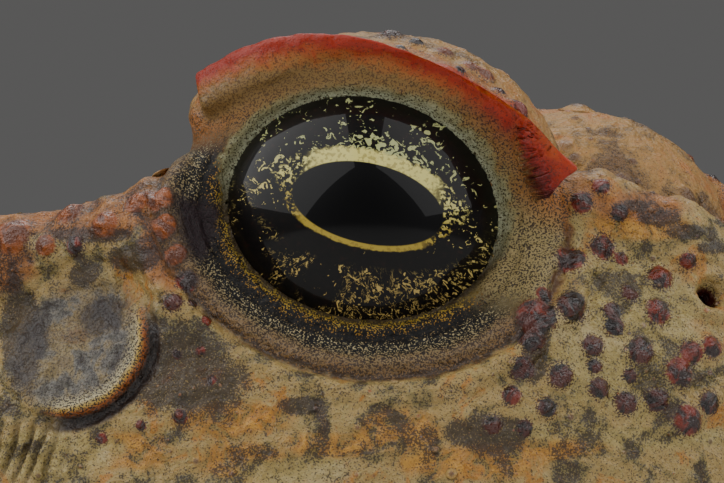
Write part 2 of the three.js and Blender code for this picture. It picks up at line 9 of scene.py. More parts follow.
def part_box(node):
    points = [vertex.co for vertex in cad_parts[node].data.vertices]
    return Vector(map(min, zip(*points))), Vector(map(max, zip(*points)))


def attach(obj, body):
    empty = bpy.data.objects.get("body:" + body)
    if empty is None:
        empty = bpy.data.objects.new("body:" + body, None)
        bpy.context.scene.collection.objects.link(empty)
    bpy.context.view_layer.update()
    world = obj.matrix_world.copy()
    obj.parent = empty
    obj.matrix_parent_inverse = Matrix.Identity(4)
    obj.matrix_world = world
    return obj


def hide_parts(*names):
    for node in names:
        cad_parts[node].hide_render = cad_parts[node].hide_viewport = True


bpy.ops.wm.read_factory_settings(use_empty=True)
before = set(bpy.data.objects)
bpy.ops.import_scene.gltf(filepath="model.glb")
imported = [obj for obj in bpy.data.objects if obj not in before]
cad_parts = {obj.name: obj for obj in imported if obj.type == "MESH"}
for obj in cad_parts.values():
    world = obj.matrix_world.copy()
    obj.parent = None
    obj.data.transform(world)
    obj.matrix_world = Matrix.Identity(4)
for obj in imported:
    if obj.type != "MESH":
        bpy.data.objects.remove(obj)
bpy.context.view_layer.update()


# The toad's own axes
# The animal is measured in millimetres from a point on the floor under its chest: X to the
# snout, Y to its left, Z up. The solids stand on the middle of their footprint, so the right
# eye's solid says how far that is from this one.
MM = 0.001
EYE_CENTRE = np.array((44.0, 13.2, 57.5))  # of the left eye, and mirrored for the right one
EYE_RADIUS = 6.9
EYE_FORWARD = math.radians(22)  # how far the eyes look forward of straight out sideways

eye_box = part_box("eye_right")
to_frame = np.array([(eye_box[0][i] + eye_box[1][i]) / 2 / MM for i in range(3)]) - EYE_CENTRE * (1, -1, 1)


def mesh_object(name, points, faces):
    """A smooth mesh from points in the toad's millimetres, in its place in the frame."""
    mesh = bpy.data.meshes.new(name)
    mesh.from_pydata(((np.array(points) + to_frame) * MM).tolist(), [], faces)
    mesh.update()
    mesh.shade_smooth()
    piece = bpy.data.objects.new(name, mesh)
    bpy.context.scene.collection.objects.link(piece)
    return piece


# Camera
# It looks at the right side of the head, square on to the eye and a little from below, from
# 150 mm away, so that the eye's opening, 12.1 mm wide, fills two fifths of the picture.
VIEW_TURN = math.radians(24)
VIEW_RISE = math.radians(-7.5)
VIEW_DISTANCE = 150.0
PIXELS_PER_MM = 23.2
PICTURE = (724, 483)
EYE_IN_PICTURE = (360, 207)
SENSOR_WIDTH = 36

view_back = np.array((
    math.sin(VIEW_TURN) * math.cos(VIEW_RISE),
    -math.cos(VIEW_TURN) * math.cos(VIEW_RISE),
    math.sin(VIEW_RISE),
))
view_right = np.array((math.cos(VIEW_TURN), math.sin(VIEW_TURN), 0.0))
view_up = np.cross(view_back, view_right)
cornea = EYE_CENTRE * (1, -1, 1) + EYE_RADIUS * np.array((math.sin(EYE_FORWARD), -math.cos(EYE_FORWARD), 0))
lens_point = cornea + view_back * VIEW_DISTANCE

camera_data = bpy.data.cameras.new("camera")
camera_data.sensor_width = SENSOR_WIDTH
camera_data.lens = SENSOR_WIDTH * VIEW_DISTANCE / (PICTURE[0] / PIXELS_PER_MM)
camera_data.shift_x = (PICTURE[0] / 2 - EYE_IN_PICTURE[0]) / PICTURE[0]
camera_data.shift_y = (EYE_IN_PICTURE[1] - PICTURE[1] / 2) / PICTURE[0]
camera_data.clip_start = 0.005
camera = bpy.data.objects.new("camera", camera_data)
camera.location = (lens_point + to_frame) * MM
camera.rotation_euler = Matrix([view_right, view_up, view_back]).transposed().to_euler()
bpy.context.scene.collection.objects.link(camera)
bpy.context.scene.camera = camera


# Flesh under the skin
# The head and trunk are lofted through cross sections, the limbs are tapered rods, and all of
# it is one rounded body: distance(p) is below zero inside it.
# x, half width, top, bottom, level of the greatest width, squareness above and below it
HEAD = np.array((
    (14.0, 17.0, 52.0, 38.0, 45.0, 2.4, 2.2),
    (22.0, 21.5, 56.6, 33.0, 45.0, 2.6, 2.2),
    (30.0, 23.4, 58.6, 33.4, 45.0, 2.9, 2.3),
    (38.0, 22.6, 60.2, 34.6, 45.2, 3.1, 2.4),
    (46.0, 20.2, 60.4, 36.0, 45.4, 3.2, 2.5),
    (52.0, 16.9, 59.4, 37.2, 45.8, 3.2, 2.5),
    (57.0, 12.9, 58.0, 38.6, 46.4, 3.0, 2.5),
    (60.5, 9.0, 56.2, 40.2, 47.2, 2.8, 2.4),
    (62.6, 5.2, 54.0, 42.4, 48.2, 2.5, 2.3),
    (63.6, 1.6, 51.2, 46.2, 49.0, 2.2, 2.2),
))
TRUNK = np.array((
    (-53.0, 2.5, 16.0, 10.0, 13.0, 2.0, 2.0),
    (-50.5, 11.0, 24.0, 4.0, 13.0, 2.0, 2.0),
    (-44.0, 21.5, 34.0, 0.0, 15.0, 2.1, 2.1),
    (-34.0, 30.0, 43.5, -1.5, 17.0, 2.2, 2.2),
    (-20.0, 35.0, 50.0, -1.5, 20.0, 2.2, 2.3),
    (-4.0, 34.5, 54.0, 0.5, 24.0, 2.2, 2.3),
    (10.0, 30.0, 56.3, 9.0, 30.0, 2.2, 2.2),
    (22.0, 23.0, 56.3, 21.0, 38.0, 2.2, 2.2),
    (30.0, 16.0, 54.0, 33.0, 43.0, 2.2, 2.2),
    (34.0, 8.0, 49.0, 39.0, 44.0, 2.0, 2.0),
))


def length(vectors):
    return np.linalg.norm(vectors, axis=1)


def blend_min(a, b, width):
    h = np.maximum(width - np.abs(a - b), 0) / width
    return np.minimum(a, b) - h * h * width / 4


def blend_max(a, b, width):
    return -blend_min(-a, -b, width)


def ball(p, centre, half):
    q = (p - centre) / half
    share = length(q)
    return share * (share - 1) / (length(q / half) + 1e-9)


def rod(p, a, b, radius_a, radius_b):
    a, b = np.array(a, float), np.array(b, float)
    t = np.clip((p - a) @ (b - a) / ((b - a) @ (b - a)), 0, 1)
    return length(p - a - t[:, None] * (b - a)) - radius_a - (radius_b - radius_a) * t


def between(stations, values, x):
    """A smooth curve through values at the stations."""
    slopes = np.gradient(values, stations)
    i = np.clip(np.searchsorted(stations, x) - 1, 0, len(stations) - 2)
    h = stations[i + 1] - stations[i]
    t = np.clip((x - stations[i]) / h, 0, 1)
    return (
        (1 + 2 * t) * (1 - t) ** 2 * values[i]
        + t * (1 - t) ** 2 * h * slopes[i]
        + t * t * (3 - 2 * t) * values[i + 1]
        + t * t * (t - 1) * h * slopes[i + 1]
    )


def lofted(p, rows):
    """Distance to a body with the cross sections in rows; p has no negative Y."""
    x = np.clip(p[:, 0], rows[0, 0], rows[-1, 0])
    half, top, low, mid, above, below = (between(rows[:, 0], rows[:, k], x) for k in range(1, 7))
    over = p[:, 2] > mid
    height = np.where(over, top - mid, mid - low)
    power = np.where(over, above, below)
    rise = np.abs(p[:, 2] - mid)
    share = ((p[:, 1] / half) ** power + (rise / height) ** power) ** (1 / power)
    reach = np.hypot(p[:, 1], rise)
    d = np.where(share < 1e-3, -np.minimum(half, height), reach - reach / np.maximum(share, 1e-6))
    past = np.abs(p[:, 0] - x)
    return np.where(past > 0, np.hypot(np.maximum(d, 0), past), d)


def grown(d, p, low, high, shape, width):
    """d joined with a shape that matters only inside the box from low to high."""
    near = np.all((p > low) & (p < high), axis=1)
    if near.any():
        d[near] = blend_min(d[near], shape(p[near]), width)
    return d


# Ridges of the skull: from the lid to the nostril, over the ear, and down behind the eye.
RIDGES = (
    ((51.0, 12.6, 58.0), (54.2, 11.0, 57.9), 1.6, 1.5),
    ((54.2, 11.0, 57.9), (57.2, 8.6, 56.7), 1.5, 1.5),
    ((57.2, 8.6, 56.7), (60.8, 5.0, 54.6), 1.5, 1.1),
    ((38.2, 17.4, 58.9), (35.6, 19.6, 56.5), 1.8, 1.8),
    ((35.6, 19.6, 56.5), (27.6, 20.2, 55.4), 1.8, 2.4),
    ((37.6, 18.8, 58.0), (38.2, 20.9, 55.8), 1.3, 1.2),
    ((38.2, 20.9, 55.8), (38.8, 21.3, 53.2), 1.2, 1.0),
)
RIDGE_REACH, RIDGE_JOIN = 5, 1.5
EYE_BULGE = 7.6
LID_CENTRE, LID_HALF = np.array((43.8, 12.0, 58.6)), np.array((9.1, 7.3, 7.9))
LID_BOX, LID_JOIN, DOME_JOIN = ((33, 2, 46), (60, 24, 70)), 0.9, 1.6
# The upper lid's keel: its outer edge from the rear corner to the front point, and the foot of the
# flat face that hangs from that edge.
KEEL_EDGE = (
    (38.0, 17.9, 64.3), (40.3, 18.6, 65.0), (43.4, 18.8, 65.45), (46.9, 18.1, 65.1),
    (50.2, 16.95, 63.7), (53.0, 15.8, 61.75), (54.7, 14.5, 59.6),
)
KEEL_FOOT = (
    (38.5, 18.2, 62.8), (40.9, 18.8, 63.45), (43.7, 18.9, 63.7), (47.0, 18.2, 63.5),
    (49.9, 17.2, 62.35), (51.9, 16.2, 60.6), (53.4, 14.9, 58.1),
)
KEEL_THICKNESS, KEEL_JOIN = 0.30, 0.8
OPENING_HALF = (6.05, 4.9)
OPENING_TILT = math.radians(14)
OPENING_RISE = 0.27
OPENING_REACH = 12  # how far from the eye's middle it cuts
RIM_SLOPE, RIM_ROUNDING = 0.9, 0.45
LID_OVERLAP = 0.25  # how far the skin reaches into the eyeball
LID_ROLL = 1.35  # radius of the fleshy roll behind the keel
ROLL_INSET = np.array((0, 1.7, 1.5))  # how far its middle lies in and below the keel's edge
ROLL_STEP, ROLL_END = 3, 7  # points of the edge from one to the next, and left out at its front
# Thin forms start blunt and are drawn out to their full sharpness as the skin's mesh gets finer.
sharpness = 0.0
CUT_FILL = 2  # how much smaller a cut starts


def smooth_path(knots, steps):
    """Points of a smooth curve through knots."""
    knots = np.array(knots, float)
    at = np.concatenate(([0], np.cumsum(length(np.diff(knots, axis=0)))))
    t = np.linspace(0, at[-1], steps)
    return np.stack([between(at, knots[:, k], t) for k in range(knots.shape[1])], 1)


keel_edge, keel_foot = smooth_path(KEEL_EDGE, 22), smooth_path(KEEL_FOOT, 22)
# The thin face is as thick as this all round, so its middle ends that much short of the edge.
keel_rise = keel_edge - keel_foot
keel_edge = keel_edge - KEEL_THICKNESS * keel_rise / length(keel_rise)[:, None]


def triangle_distance(p, a, b, c):
    """Distance to the flat triangle abc."""
    normal = np.cross(b - a, c - a)
    normal /= np.linalg.norm(normal)
    to_edge = np.full(len(p), np.inf)
    inside = np.ones(len(p), bool)
    for start, end in ((a, b), (b, c), (c, a)):
        inside &= (p - start) @ np.cross(normal, end - start) >= 0
        to_edge = np.minimum(to_edge, rod(p, start, end, 0, 0))
    return np.where(inside, np.abs((p - a) @ normal), to_edge)


def keel_distance(p):
    d = np.full(len(p), 99.0)
    for i in range(len(keel_edge) - 1):
        d = np.minimum(d, triangle_distance(p, keel_edge[i], keel_edge[i + 1], keel_foot[i]))
        d = np.minimum(d, triangle_distance(p, keel_foot[i], keel_edge[i + 1], keel_foot[i + 1]))
    return d


def lids(p):
    d = ball(p, EYE_CENTRE, np.full(3, EYE_BULGE))
    d = blend_min(d, ball(p, LID_CENTRE, LID_HALF), DOME_JOIN)
    roll = keel_edge - ROLL_INSET
    for i in range(0, len(roll) - ROLL_END, ROLL_STEP):
        d = blend_min(d, rod(p, roll[i], roll[i + ROLL_STEP], LID_ROLL, LID_ROLL), KEEL_JOIN)
    blunt = 1 - sharpness
    return blend_min(d, keel_distance(p) - KEEL_THICKNESS - 0.8 * blunt, KEEL_JOIN + blunt)


def eye_plane(p):
    """A point's place seen along the eye's axis: across, up, and towards the viewer."""
    rel = p - EYE_CENTRE - (0, 0, OPENING_RISE)
    across = rel @ (math.cos(EYE_FORWARD), -math.sin(EYE_FORWARD), 0)
    outward = rel @ (math.sin(EYE_FORWARD), math.cos(EYE_FORWARD), 0)
    cos, sin = math.cos(OPENING_TILT), math.sin(OPENING_TILT)
    return across * cos - rel[:, 2] * sin, across * sin + rel[:, 2] * cos, outward


def eye_share(across, up):
    """How far out a point is, where 1 is the edge of the opening."""
    return np.hypot(across / OPENING_HALF[0], up / OPENING_HALF[1])


def eye_opening(p):
    """The opening flares outward, so the lids lie on the eyeball with a sloping rim."""
    across, up, outward = eye_plane(p)
    from_middle = length(p - EYE_CENTRE)
    flare = RIM_SLOPE * np.maximum(from_middle - EYE_RADIUS, 0)
    side = np.hypot(across, up) * (1 - 1 / np.maximum(eye_share(across, up), 1e-6)) - flare
    side = side / math.hypot(1, RIM_SLOPE) + CUT_FILL * (1 - sharpness)
    return np.maximum(np.maximum(side, EYE_RADIUS - LID_OVERLAP - from_middle), -outward)


# The eardrum, a round of thin skin behind the eye, faces out and a little back.
EAR_CENTRE, EAR_RADIUS, EAR_BACK = np.array((34.05, 22.9, 51.95)), 3.1, math.radians(12)
ear_axis = np.array((-math.sin(EAR_BACK), math.cos(EAR_BACK), 0.12))
ear_axis /= np.linalg.norm(ear_axis)


def ear_plane(p):
    rel = p - EAR_CENTRE
    outward = rel @ ear_axis
    return length(rel - outward[:, None] * ear_axis), outward


# The line of the mouth runs level from the snout to below the ear, between two rounded lips.
MOUTH_LINE = np.array(((27.0, 38.6), (32.0, 42.4), (39.0, 43.4), (50.0, 43.3), (62.0, 43.7), (70.0, 44.3)))
MOUTH_CORNER, MOUTH_FADE, MOUTH_DEPTH, SLIT_HALF = 28, 3, 0.9, 0.16
LIP_ROLL, LIP_LEVEL, LIP_SPREAD = 0.45, 0.9, 1.1


def mouth_height(p):
    """Height above the line of the mouth, and 1 along it falling to 0 behind its corner."""
    level = between(MOUTH_LINE[:, 0], MOUTH_LINE[:, 1], p[:, 0])
    return p[:, 2] - level, np.clip((p[:, 0] - MOUTH_CORNER) / MOUTH_FADE, 0, 1)


def mouthed(p, d):
    """d with rounded lips and the slit between them."""
    above, open_here = mouth_height(p)
    d = d - LIP_ROLL * open_here * np.exp(-(((np.abs(above) - LIP_LEVEL) / LIP_SPREAD) ** 2))
    slit = np.maximum(np.abs(above) - SLIT_HALF, -(d + MOUTH_DEPTH * open_here))
    return blend_max(d, -slit - CUT_FILL * (1 - sharpness), 0.5)


def head_distance(p):
    d = lofted(p, HEAD)
    for ridge in RIDGES:
        low, high = np.minimum(*ridge[:2]) - RIDGE_REACH, np.maximum(*ridge[:2]) + RIDGE_REACH
        d = grown(d, p, low, high, lambda q: rod(q, *ridge), RIDGE_JOIN)
    d = mouthed(p, grown(d, p, *LID_BOX, lids, LID_JOIN))
    near = length(p - EYE_CENTRE) < OPENING_REACH
    if near.any():
        d[near] = blend_max(d[near], -eye_opening(p[near]), RIM_ROUNDING)
    return d


# The poison gland behind the ear: an egg with its long axis along the shoulder.
GLAND_CENTRE = np.array((8.6, 21.2, 46.0))
GLAND_HALF = np.array((18.4, 10.0, 8.2))
GLAND_DROP, GLAND_SPREAD, GLAND_LEAN = math.radians(17), math.radians(9), math.radians(42)
gland_axes = Matrix.Rotation(-GLAND_SPREAD, 3, "Z") @ Matrix.Rotation(-GLAND_DROP, 3, "Y")
gland_axes = np.array(gland_axes @ Matrix.Rotation(-GLAND_LEAN, 3, "X"))


def gland(p):
    q = (p - GLAND_CENTRE) @ gland_axes
    swell = 1 - 0.2 * q[:, 0] / GLAND_HALF[0]
    return ball(q / np.column_stack((np.ones(len(q)), swell, swell)), np.zeros(3), GLAND_HALF)


# Limbs, as joints of the left side. A rod's radius is given at each end.
ARM = (
    ((17, 16, 36), (9, 32.5, 19), 10.4, 7.4),
    ((9, 32.5, 19), (16.2, 31.3, 14.0), 7.4, 7.2),
    ((16.2, 31.3, 14.0), (27, 29.5, 6.6), 7.2, 4.9),
    ((27, 29.5, 6.6), (32.5, 26.5, 3.4), 4.9, 4.6),
)
FINGER_TIPS = ((34.0, 14.5, 1.2), (43.0, 16.5, 1.2), (49.5, 24.5, 1.2), (42.5, 33.0, 1.2))
LEG = (
    ((-37, 11, 21), (-9, 41, 16.5), 15.0, 10.6),
    ((-9, 41, 16.5), (-21.6, 37.5, 12.7), 8.8, 8.8),
    ((-21.6, 37.5, 12.7), (-45, 31, 5.6), 8.8, 6.0),
    ((-45, 31, 5.6), (-27, 39.5, 4.2), 6.0, 4.9),
)
TOE_TIPS = ((-12, 33.5, 1.2), (-5, 38.0, 1.2), (1.5, 44.0, 1.2), (4.5, 52.5, 1.2), (-9, 54.0, 1.2))


KNUCKLE_RISE, TIP_SWELL = np.array((0, 0, 0.5)), 0.1


def digits(p, root, tips, root_radius, middle_radius, tip_radius):
    d = np.full(len(p), 99.0)
    for tip in tips:
        middle = (np.array(root) + tip) / 2 + KNUCKLE_RISE
        d = blend_min(d, rod(p, root, middle, root_radius, middle_radius), 1.0)
        d = blend_min(d, rod(p, middle, tip, middle_radius, tip_radius), 0.5)
        d = blend_min(d, ball(p, np.array(tip), np.full(3, tip_radius + TIP_SWELL)), 0.6)
    return d


def arm(p):
    d = rod(p, *ARM[0])
    for bone in ARM[1:]:
        d = blend_min(d, rod(p, *bone), 2.0)
    return blend_min(d, digits(p, ARM[-1][1], FINGER_TIPS, 2.5, 1.9, 1.8), 1.6)


def leg(p):
    d = rod(p, *LEG[0])
    d = blend_min(d, blend_min(rod(p, *LEG[1]), rod(p, *LEG[2]), 2.0), 1.2)
    d = blend_min(d, rod(p, *LEG[3]), 1.5)
    return blend_min(d, digits(p, LEG[3][1], TOE_TIPS, 3.0, 2.1, 1.8), 1.8)


def mirrored(points):
    """The same points on the toad's left side, where all its parts are measured."""
    return np.abs(points) * (0, 1, 0) + points * (1, 0, 1)


def distance(points):
    """Distance to the whole body, which is built on the left side and mirrored."""
    p = mirrored(points)
    d = lofted(p, TRUNK)
    for low, high, part, join in (
        ((4, -1, 24), (72, 30, 76), head_distance, 4.0),
        ((-16, 5, 28), (34, 40, 62), gland, 1.6),
        ((-8, 2, -9), (60, 50, 52), arm, 3.0),
        ((-62, -1, -9), (16, 66, 44), leg, 2.2),
    ):
        d = grown(d, p, low, high, part, join)
    return np.maximum(d, -p[:, 2])


# Skin
# One moist, warty skin covers the whole animal without a seam. It is wrapped around the flesh in
# even squares and then made finer where the face shows fine folds.
BODY_STEP, HEAD_STEP, HIDDEN_STEP = 1.15, 0.8, 0.9
HEAD_FROM, HEAD_FADE = (22, 30), 8  # forward and up, where the head's step begins
LIP_STEP, LIP_NEAR, KEEL_NEAR = 0.45, 1, 3  # at the lips and the keel
FACE_STEP, FINEST_STEP = 0.25, 0.17  # on the side of the head that the photo shows
SHOWN_HALF, SHOWN_DROP, SHOWN_FADE = (16.5, 11.2), 1.2, 5
SKIN_TRIANGLES = 192000
WHOLE_TOAD = (-60, -66, -3), (68, 66, 72)  # the box that it is looked for in


def wrapped(field, low, high, step):
    """Corners and four-sided faces of the surface where field is zero."""
    low, high = np.array(low, float), np.array(high, float)
    count = np.ceil((high - low) / step).astype(int) + 1
    cells = count - 1
    grid = low + step * np.stack(np.meshgrid(*map(np.arange, count), indexing="ij"), -1).reshape(-1, 3)
    parts = np.array_split(grid, 1 + len(grid) // 200000)
    value = np.concatenate([field(part) for part in parts]).reshape(count)
    total, crossings = np.zeros((*cells, 3)), np.zeros(cells)
    for edge in range(12):
        axis = edge // 4
        along = np.eye(3, dtype=int)[axis]
        foot = np.insert([edge // 2 % 2, edge % 2], axis, 0)
        a = value[tuple(map(slice, foot, foot + cells))]
        b = value[tuple(map(slice, foot + along, foot + along + cells))]
        cross = (a < 0) != (b < 0)
        t = np.where(cross, a, 0) / np.where(cross, a - b, 1)
        total += cross[..., None] * (foot + t[..., None] * along)
        crossings += cross
    used = crossings > 0
    index = np.full(cells, -1)
    index[used] = np.arange(used.sum())
    points = low + step * (np.argwhere(used) + total[used] / crossings[used][:, None])
    faces = []
    for axis in range(3):
        along, u, v = np.roll(np.eye(3, dtype=int), -axis, axis=0)
        a = value[tuple(map(slice, 1 - along, cells))] < 0
        b = value[tuple(map(slice, (1, 1, 1), cells + along))] < 0
        for mask, turn in ((a & ~b, 1), (b & ~a, -1)):
            at = np.argwhere(mask)
            ring = [index[tuple((at + i * u + j * v).T)] for i, j in ((0, 0), (1, 0), (1, 1), (0, 1))]
            faces.append(np.stack(ring[::turn], 1))
    return points, np.concatenate(faces)


def settled(points, rounds=2, reach=0.6):
    """Points moved onto the surface of the flesh."""
    step = 0.02
    for _ in range(rounds):
        value = distance(points)
        slope = np.stack([distance(points + step * np.eye(3)[k]) - value for k in range(3)], 1) / step
        move = value[:, None] * slope / np.maximum((slope**2).sum(1), 0.2)[:, None]
        points = points - np.clip(move, -reach, reach)
    return points


def finest_edge(points, face_step):
    """The longest edge that the skin's triangles may have at each point."""
    p = mirrored(points)
    on_head = np.prod(np.clip((points[:, [0, 2]] - HEAD_FROM) / HEAD_FADE, 0, 1), axis=1)
    across = (points - cornea) @ view_right
    up = (points - cornea) @ view_up
    outside = np.maximum(np.abs(across) - SHOWN_HALF[0], np.abs(up + SHOWN_DROP) - SHOWN_HALF[1])
    shown = np.clip(1 - np.maximum(outside, 0) / SHOWN_FADE, 0, 1) * (points[:, 1] < -3)
    keel_near = np.min(np.linalg.norm(p[:, None] - keel_edge[None, ::3], axis=2), axis=1)
    mouth_above, mouth_here = mouth_height(p)
    size = BODY_STEP * 1.5 * (1 - on_head) + HEAD_STEP * on_head
    on_lip = (np.abs(mouth_above) < LIP_NEAR) & (mouth_here > 0)
    size = np.where((keel_near < KEEL_NEAR) | on_lip, LIP_STEP, size)
    size = size * (1 - shown) + face_step * shown
    across, up, outward = eye_plane(p)
    under_eye = (eye_share(across, up) < 0.9) & (outward > 0)
    return np.where(under_eye, HIDDEN_STEP, size)


def finer(points, triangles, face_step):
    """Splits each edge that is longer than it may be, keeping the surface whole."""
    count = len(points)
    ends = np.sort(triangles[:, [[0, 1], [1, 2], [2, 0]]].reshape(-1, 2), axis=1)
    keys, place = np.unique(ends[:, 0] * count + ends[:, 1], return_inverse=True)
    a, b = keys // count, keys % count
    middle = (points[a] + points[b]) / 2
    split = length(points[a] - points[b]) > finest_edge(middle, face_step)
    new = np.full(len(keys), -1)
    new[split] = count + np.arange(split.sum())
    mids = new[place].reshape(-1, 3)
    marks = (mids >= 0).sum(1)
    points = np.concatenate((points, settled(middle[split])))
    done = [triangles[marks == 0]]
    for k in range(3):
        turned = [k, (k + 1) % 3, (k + 2) % 3]
        one = (marks == 1) & (mids[:, k] >= 0)
        (a, b, c), m = triangles[one][:, turned].T, mids[one, k]
        done += [np.stack((a, m, c), 1), np.stack((m, b, c), 1)]
        two = (marks == 2) & (mids[:, turned[2]] < 0)
        (a, b, c), m, n = triangles[two][:, turned].T, mids[two, k], mids[two, turned[1]]
        done.append(np.stack((m, b, n), 1))
        apart = length(points[a] - points[n])
        flip = (apart > length(points[m] - points[c]))[:, None]
        done.append(np.where(flip, np.stack((a, m, c), 1), np.stack((a, m, n), 1)))
        done.append(np.where(flip, np.stack((m, n, c), 1), np.stack((a, n, c), 1)))
    t, m = triangles[marks == 3], mids[marks == 3]
    done += [np.stack((t[:, k], m[:, k], m[:, (k + 2) % 3]), 1) for k in range(3)]
    done.append(m)
    return points, np.concatenate(done)


def evened(points, triangles, rounds):
    """Points slid along the skin towards the middle of their neighbours."""
    for _ in range(rounds):
        total, count = np.zeros_like(points), np.zeros(len(points))
        for i in range(3):
            for j in (1, 2):
                np.add.at(total, triangles[:, i], points[triangles[:, (i + j) % 3]])
                np.add.at(count, triangles[:, i], 1)
        points = settled(points + 0.5 * (total / count[:, None] - points), rounds=1)
    return points


skin_points, squares = wrapped(distance, *WHOLE_TOAD, BODY_STEP)
triangles = np.concatenate((squares[:, :3], squares[:, [0, 2, 3]]))
for sharpness in (0.0, 0.4, 0.7, 1.0, 1.0):
    skin_points = evened(skin_points, triangles, 2)
    skin_points, triangles = finer(skin_points, triangles, FACE_STEP)
skin_points = evened(skin_points, triangles, 2)
skin_points, triangles = finer(skin_points, triangles, FINEST_STEP)


# Folds, warts and wrinkles of the skin
# The skin is raised into warts, each with a horny tip, and gathered in rings of folds around the
# eye. They are pushed out of the smooth skin, the same on both sides of the head.
def outward_normals(points, triangles):
    a, b, c = (points[triangles[:, k]] for k in range(3))
    face = np.cross(b - a, c - a)
    total = np.zeros_like(points)
    for k in range(3):
        np.add.at(total, triangles[:, k], face)
    return total / np.maximum(length(total), 1e-12)[:, None]


def bell(distance, radius):
    """1 in the middle, falling smoothly to 0 at the radius."""
    return np.clip(1 - (distance / radius) ** 2, 0, 1) ** 2


def band(value, middle, half_width):
    return bell(np.abs(value - middle), half_width)


def faded(value, start, end):
    """0 at the start and 1 from the end on."""
    t = np.clip((value - start) / (end - start), 0, 1)
    return t * t * (3 - 2 * t)


def in_picture(points):
    """Where the camera sees points of the right side, in the photo's pixels, and how near they are."""
    rel = points * (1, -1, 1) - cornea
    near = rel @ view_back
    scale = PIXELS_PER_MM * VIEW_DISTANCE / (VIEW_DISTANCE - near)
    across = EYE_IN_PICTURE[0] + rel @ view_right * scale
    return across, EYE_IN_PICTURE[1] - rel @ view_up * scale, near


def ripple(points, size, seed=0.0):
    """An even wandering value from -1 to 1 over the points."""
    return np.array([noise.noise(Vector((x / size + seed, y / size, z / size))) for x, y, z in points])


side_points = mirrored(skin_points)
normals = outward_normals(skin_points, triangles)
facing = (normals * np.where(skin_points[:, 1:2] > 0, (1, -1, 1), (1, 1, 1))) @ view_back
pixel_x, pixel_y, nearness = in_picture(side_points)
on_face = (side_points[:, 0] > 24) & (side_points[:, 2] > 34) & (facing > -0.15) & (side_points[:, 1] > 2)

across, up, outward = eye_plane(side_points)
share = np.where((outward > 0) & on_face, eye_share(across, up), 9.0)
wavy = ripple(skin_points, 1.6)
below_lid = faded(-up, -3.0, 0.5)
# Rings of folds below the eye: height, place as a share of the opening, how it wanders, half width.
EYE_FOLDS = (
    (-0.10, 1.18, 0.02, 0.05), (0.18, 1.40, 0.03, 0.13), (-0.22, 1.52, 0.03, 0.08), (0.16, 1.66, 0.04, 0.12),
)
lift = 0.10 * band(share, 1.09, 0.06)
for rise, at, wander, half in EYE_FOLDS:
    lift += rise * band(share, at + wander * wavy, half) * below_lid
lift -= 0.14 * band(share, 1.80 + 0.05 * wavy, 0.07) * below_lid * faded(across, 0.0, 4.0)

ear_off, ear_out = ear_plane(side_points)
ear_near = (np.abs(ear_out) < 2.5) & on_face
ear_share = np.where(ear_near, ear_off / EAR_RADIUS, 9.0)
ear_rel = side_points - EAR_CENTRE
ear_turn = np.degrees(np.arctan2(ear_rel[:, 2], ear_rel[:, 0]))
rim_strength = 0.25 + 0.75 * bell(ear_turn + 40, 95)  # strongest in front and below
lift -= 0.30 * bell(ear_share, 1.0)
lift += (0.26 + 0.06 * wavy) * band(ear_share, 0.98, 0.16) * rim_strength
lift -= 0.30 * band(ear_share, 1.17, 0.14) * rim_strength

# Where a point lies on the keel: how near, how high from its foot to its edge, how far forward.
keel_share = np.linspace(0, 1, 9)
keel_grid = keel_foot[:, None] * (1 - keel_share)[:, None] + keel_edge[:, None] * keel_share[:, None]
far = np.full(len(side_points), 9.0)
by_keel = np.flatnonzero(grown(far, side_points, (33, 10, 54), (60, 24, 70), keel_distance, 0.1) < 1.6)
keel_place = np.zeros((len(skin_points), 3))
for part in np.array_split(by_keel, 8):
    gap = np.linalg.norm(side_points[part][:, None] - keel_grid.reshape(-1, 3)[None], axis=2)
    best = gap.argmin(1)
    keel_place[part, 0] = faded(gap.min(1), 1.3, 0.7)
    keel_place[part, 1] = keel_share[best % len(keel_share)]
    keel_place[part, 2] = best // len(keel_share) / (len(keel_edge) - 1)
rough = ripple(skin_points, 0.55, 3.0)
keel_bumps = faded(keel_place[:, 1], 0.6, 1.0) * faded(keel_place[:, 2], 0.85, 0.6)
lift += keel_place[:, 0] * (0.07 * wavy + 0.05 * rough) * keel_bumps

# Main warts where the photo shows them: pixels across and down, radius in millimetres, colour of tip.
WARTS_BEFORE_EYE = (
    (571, 307, 0.56, "dark"), (537, 318, 0.66, "red"), (531, 341, 0.50, "dark"), (544, 296, 0.30, "red"),
    (570, 260, 0.55, "red"), (601, 247, 0.50, "red"), (621, 260, 0.28, "red"), (581, 202, 0.40, "red"),
    (601, 186, 0.34, "red"), (617, 213, 0.32, "dark"), (629, 294, 0.33, "dark"), (612, 311, 0.37, "dark"),
    (613, 327, 0.38, "dark"), (593, 345, 0.42, "dark"), (638, 351, 0.52, "dark"), (595, 367, 0.28, "dark"),
    (561, 377, 0.46, "dark"), (600, 389, 0.40, "dark"), (628, 376, 0.27, "dark"), (524, 370, 0.42, "dark"),
    (512, 395, 0.36, "red"), (546, 408, 0.36, "dark"), (659, 278, 0.50, "red"), (658, 312, 0.50, "red"),
    (686, 261, 0.33, "red"), (677, 372, 0.54, "red"), (690, 353, 0.45, "red"), (710, 348, 0.44, "red"),
    (656, 399, 0.43, "dark"), (687, 420, 0.55, "red"), (626, 404, 0.44, "dark"), (709, 403, 0.42, "dark"),
    (492, 426, 0.33, "dark"), (525, 428, 0.30, "dark"),
)
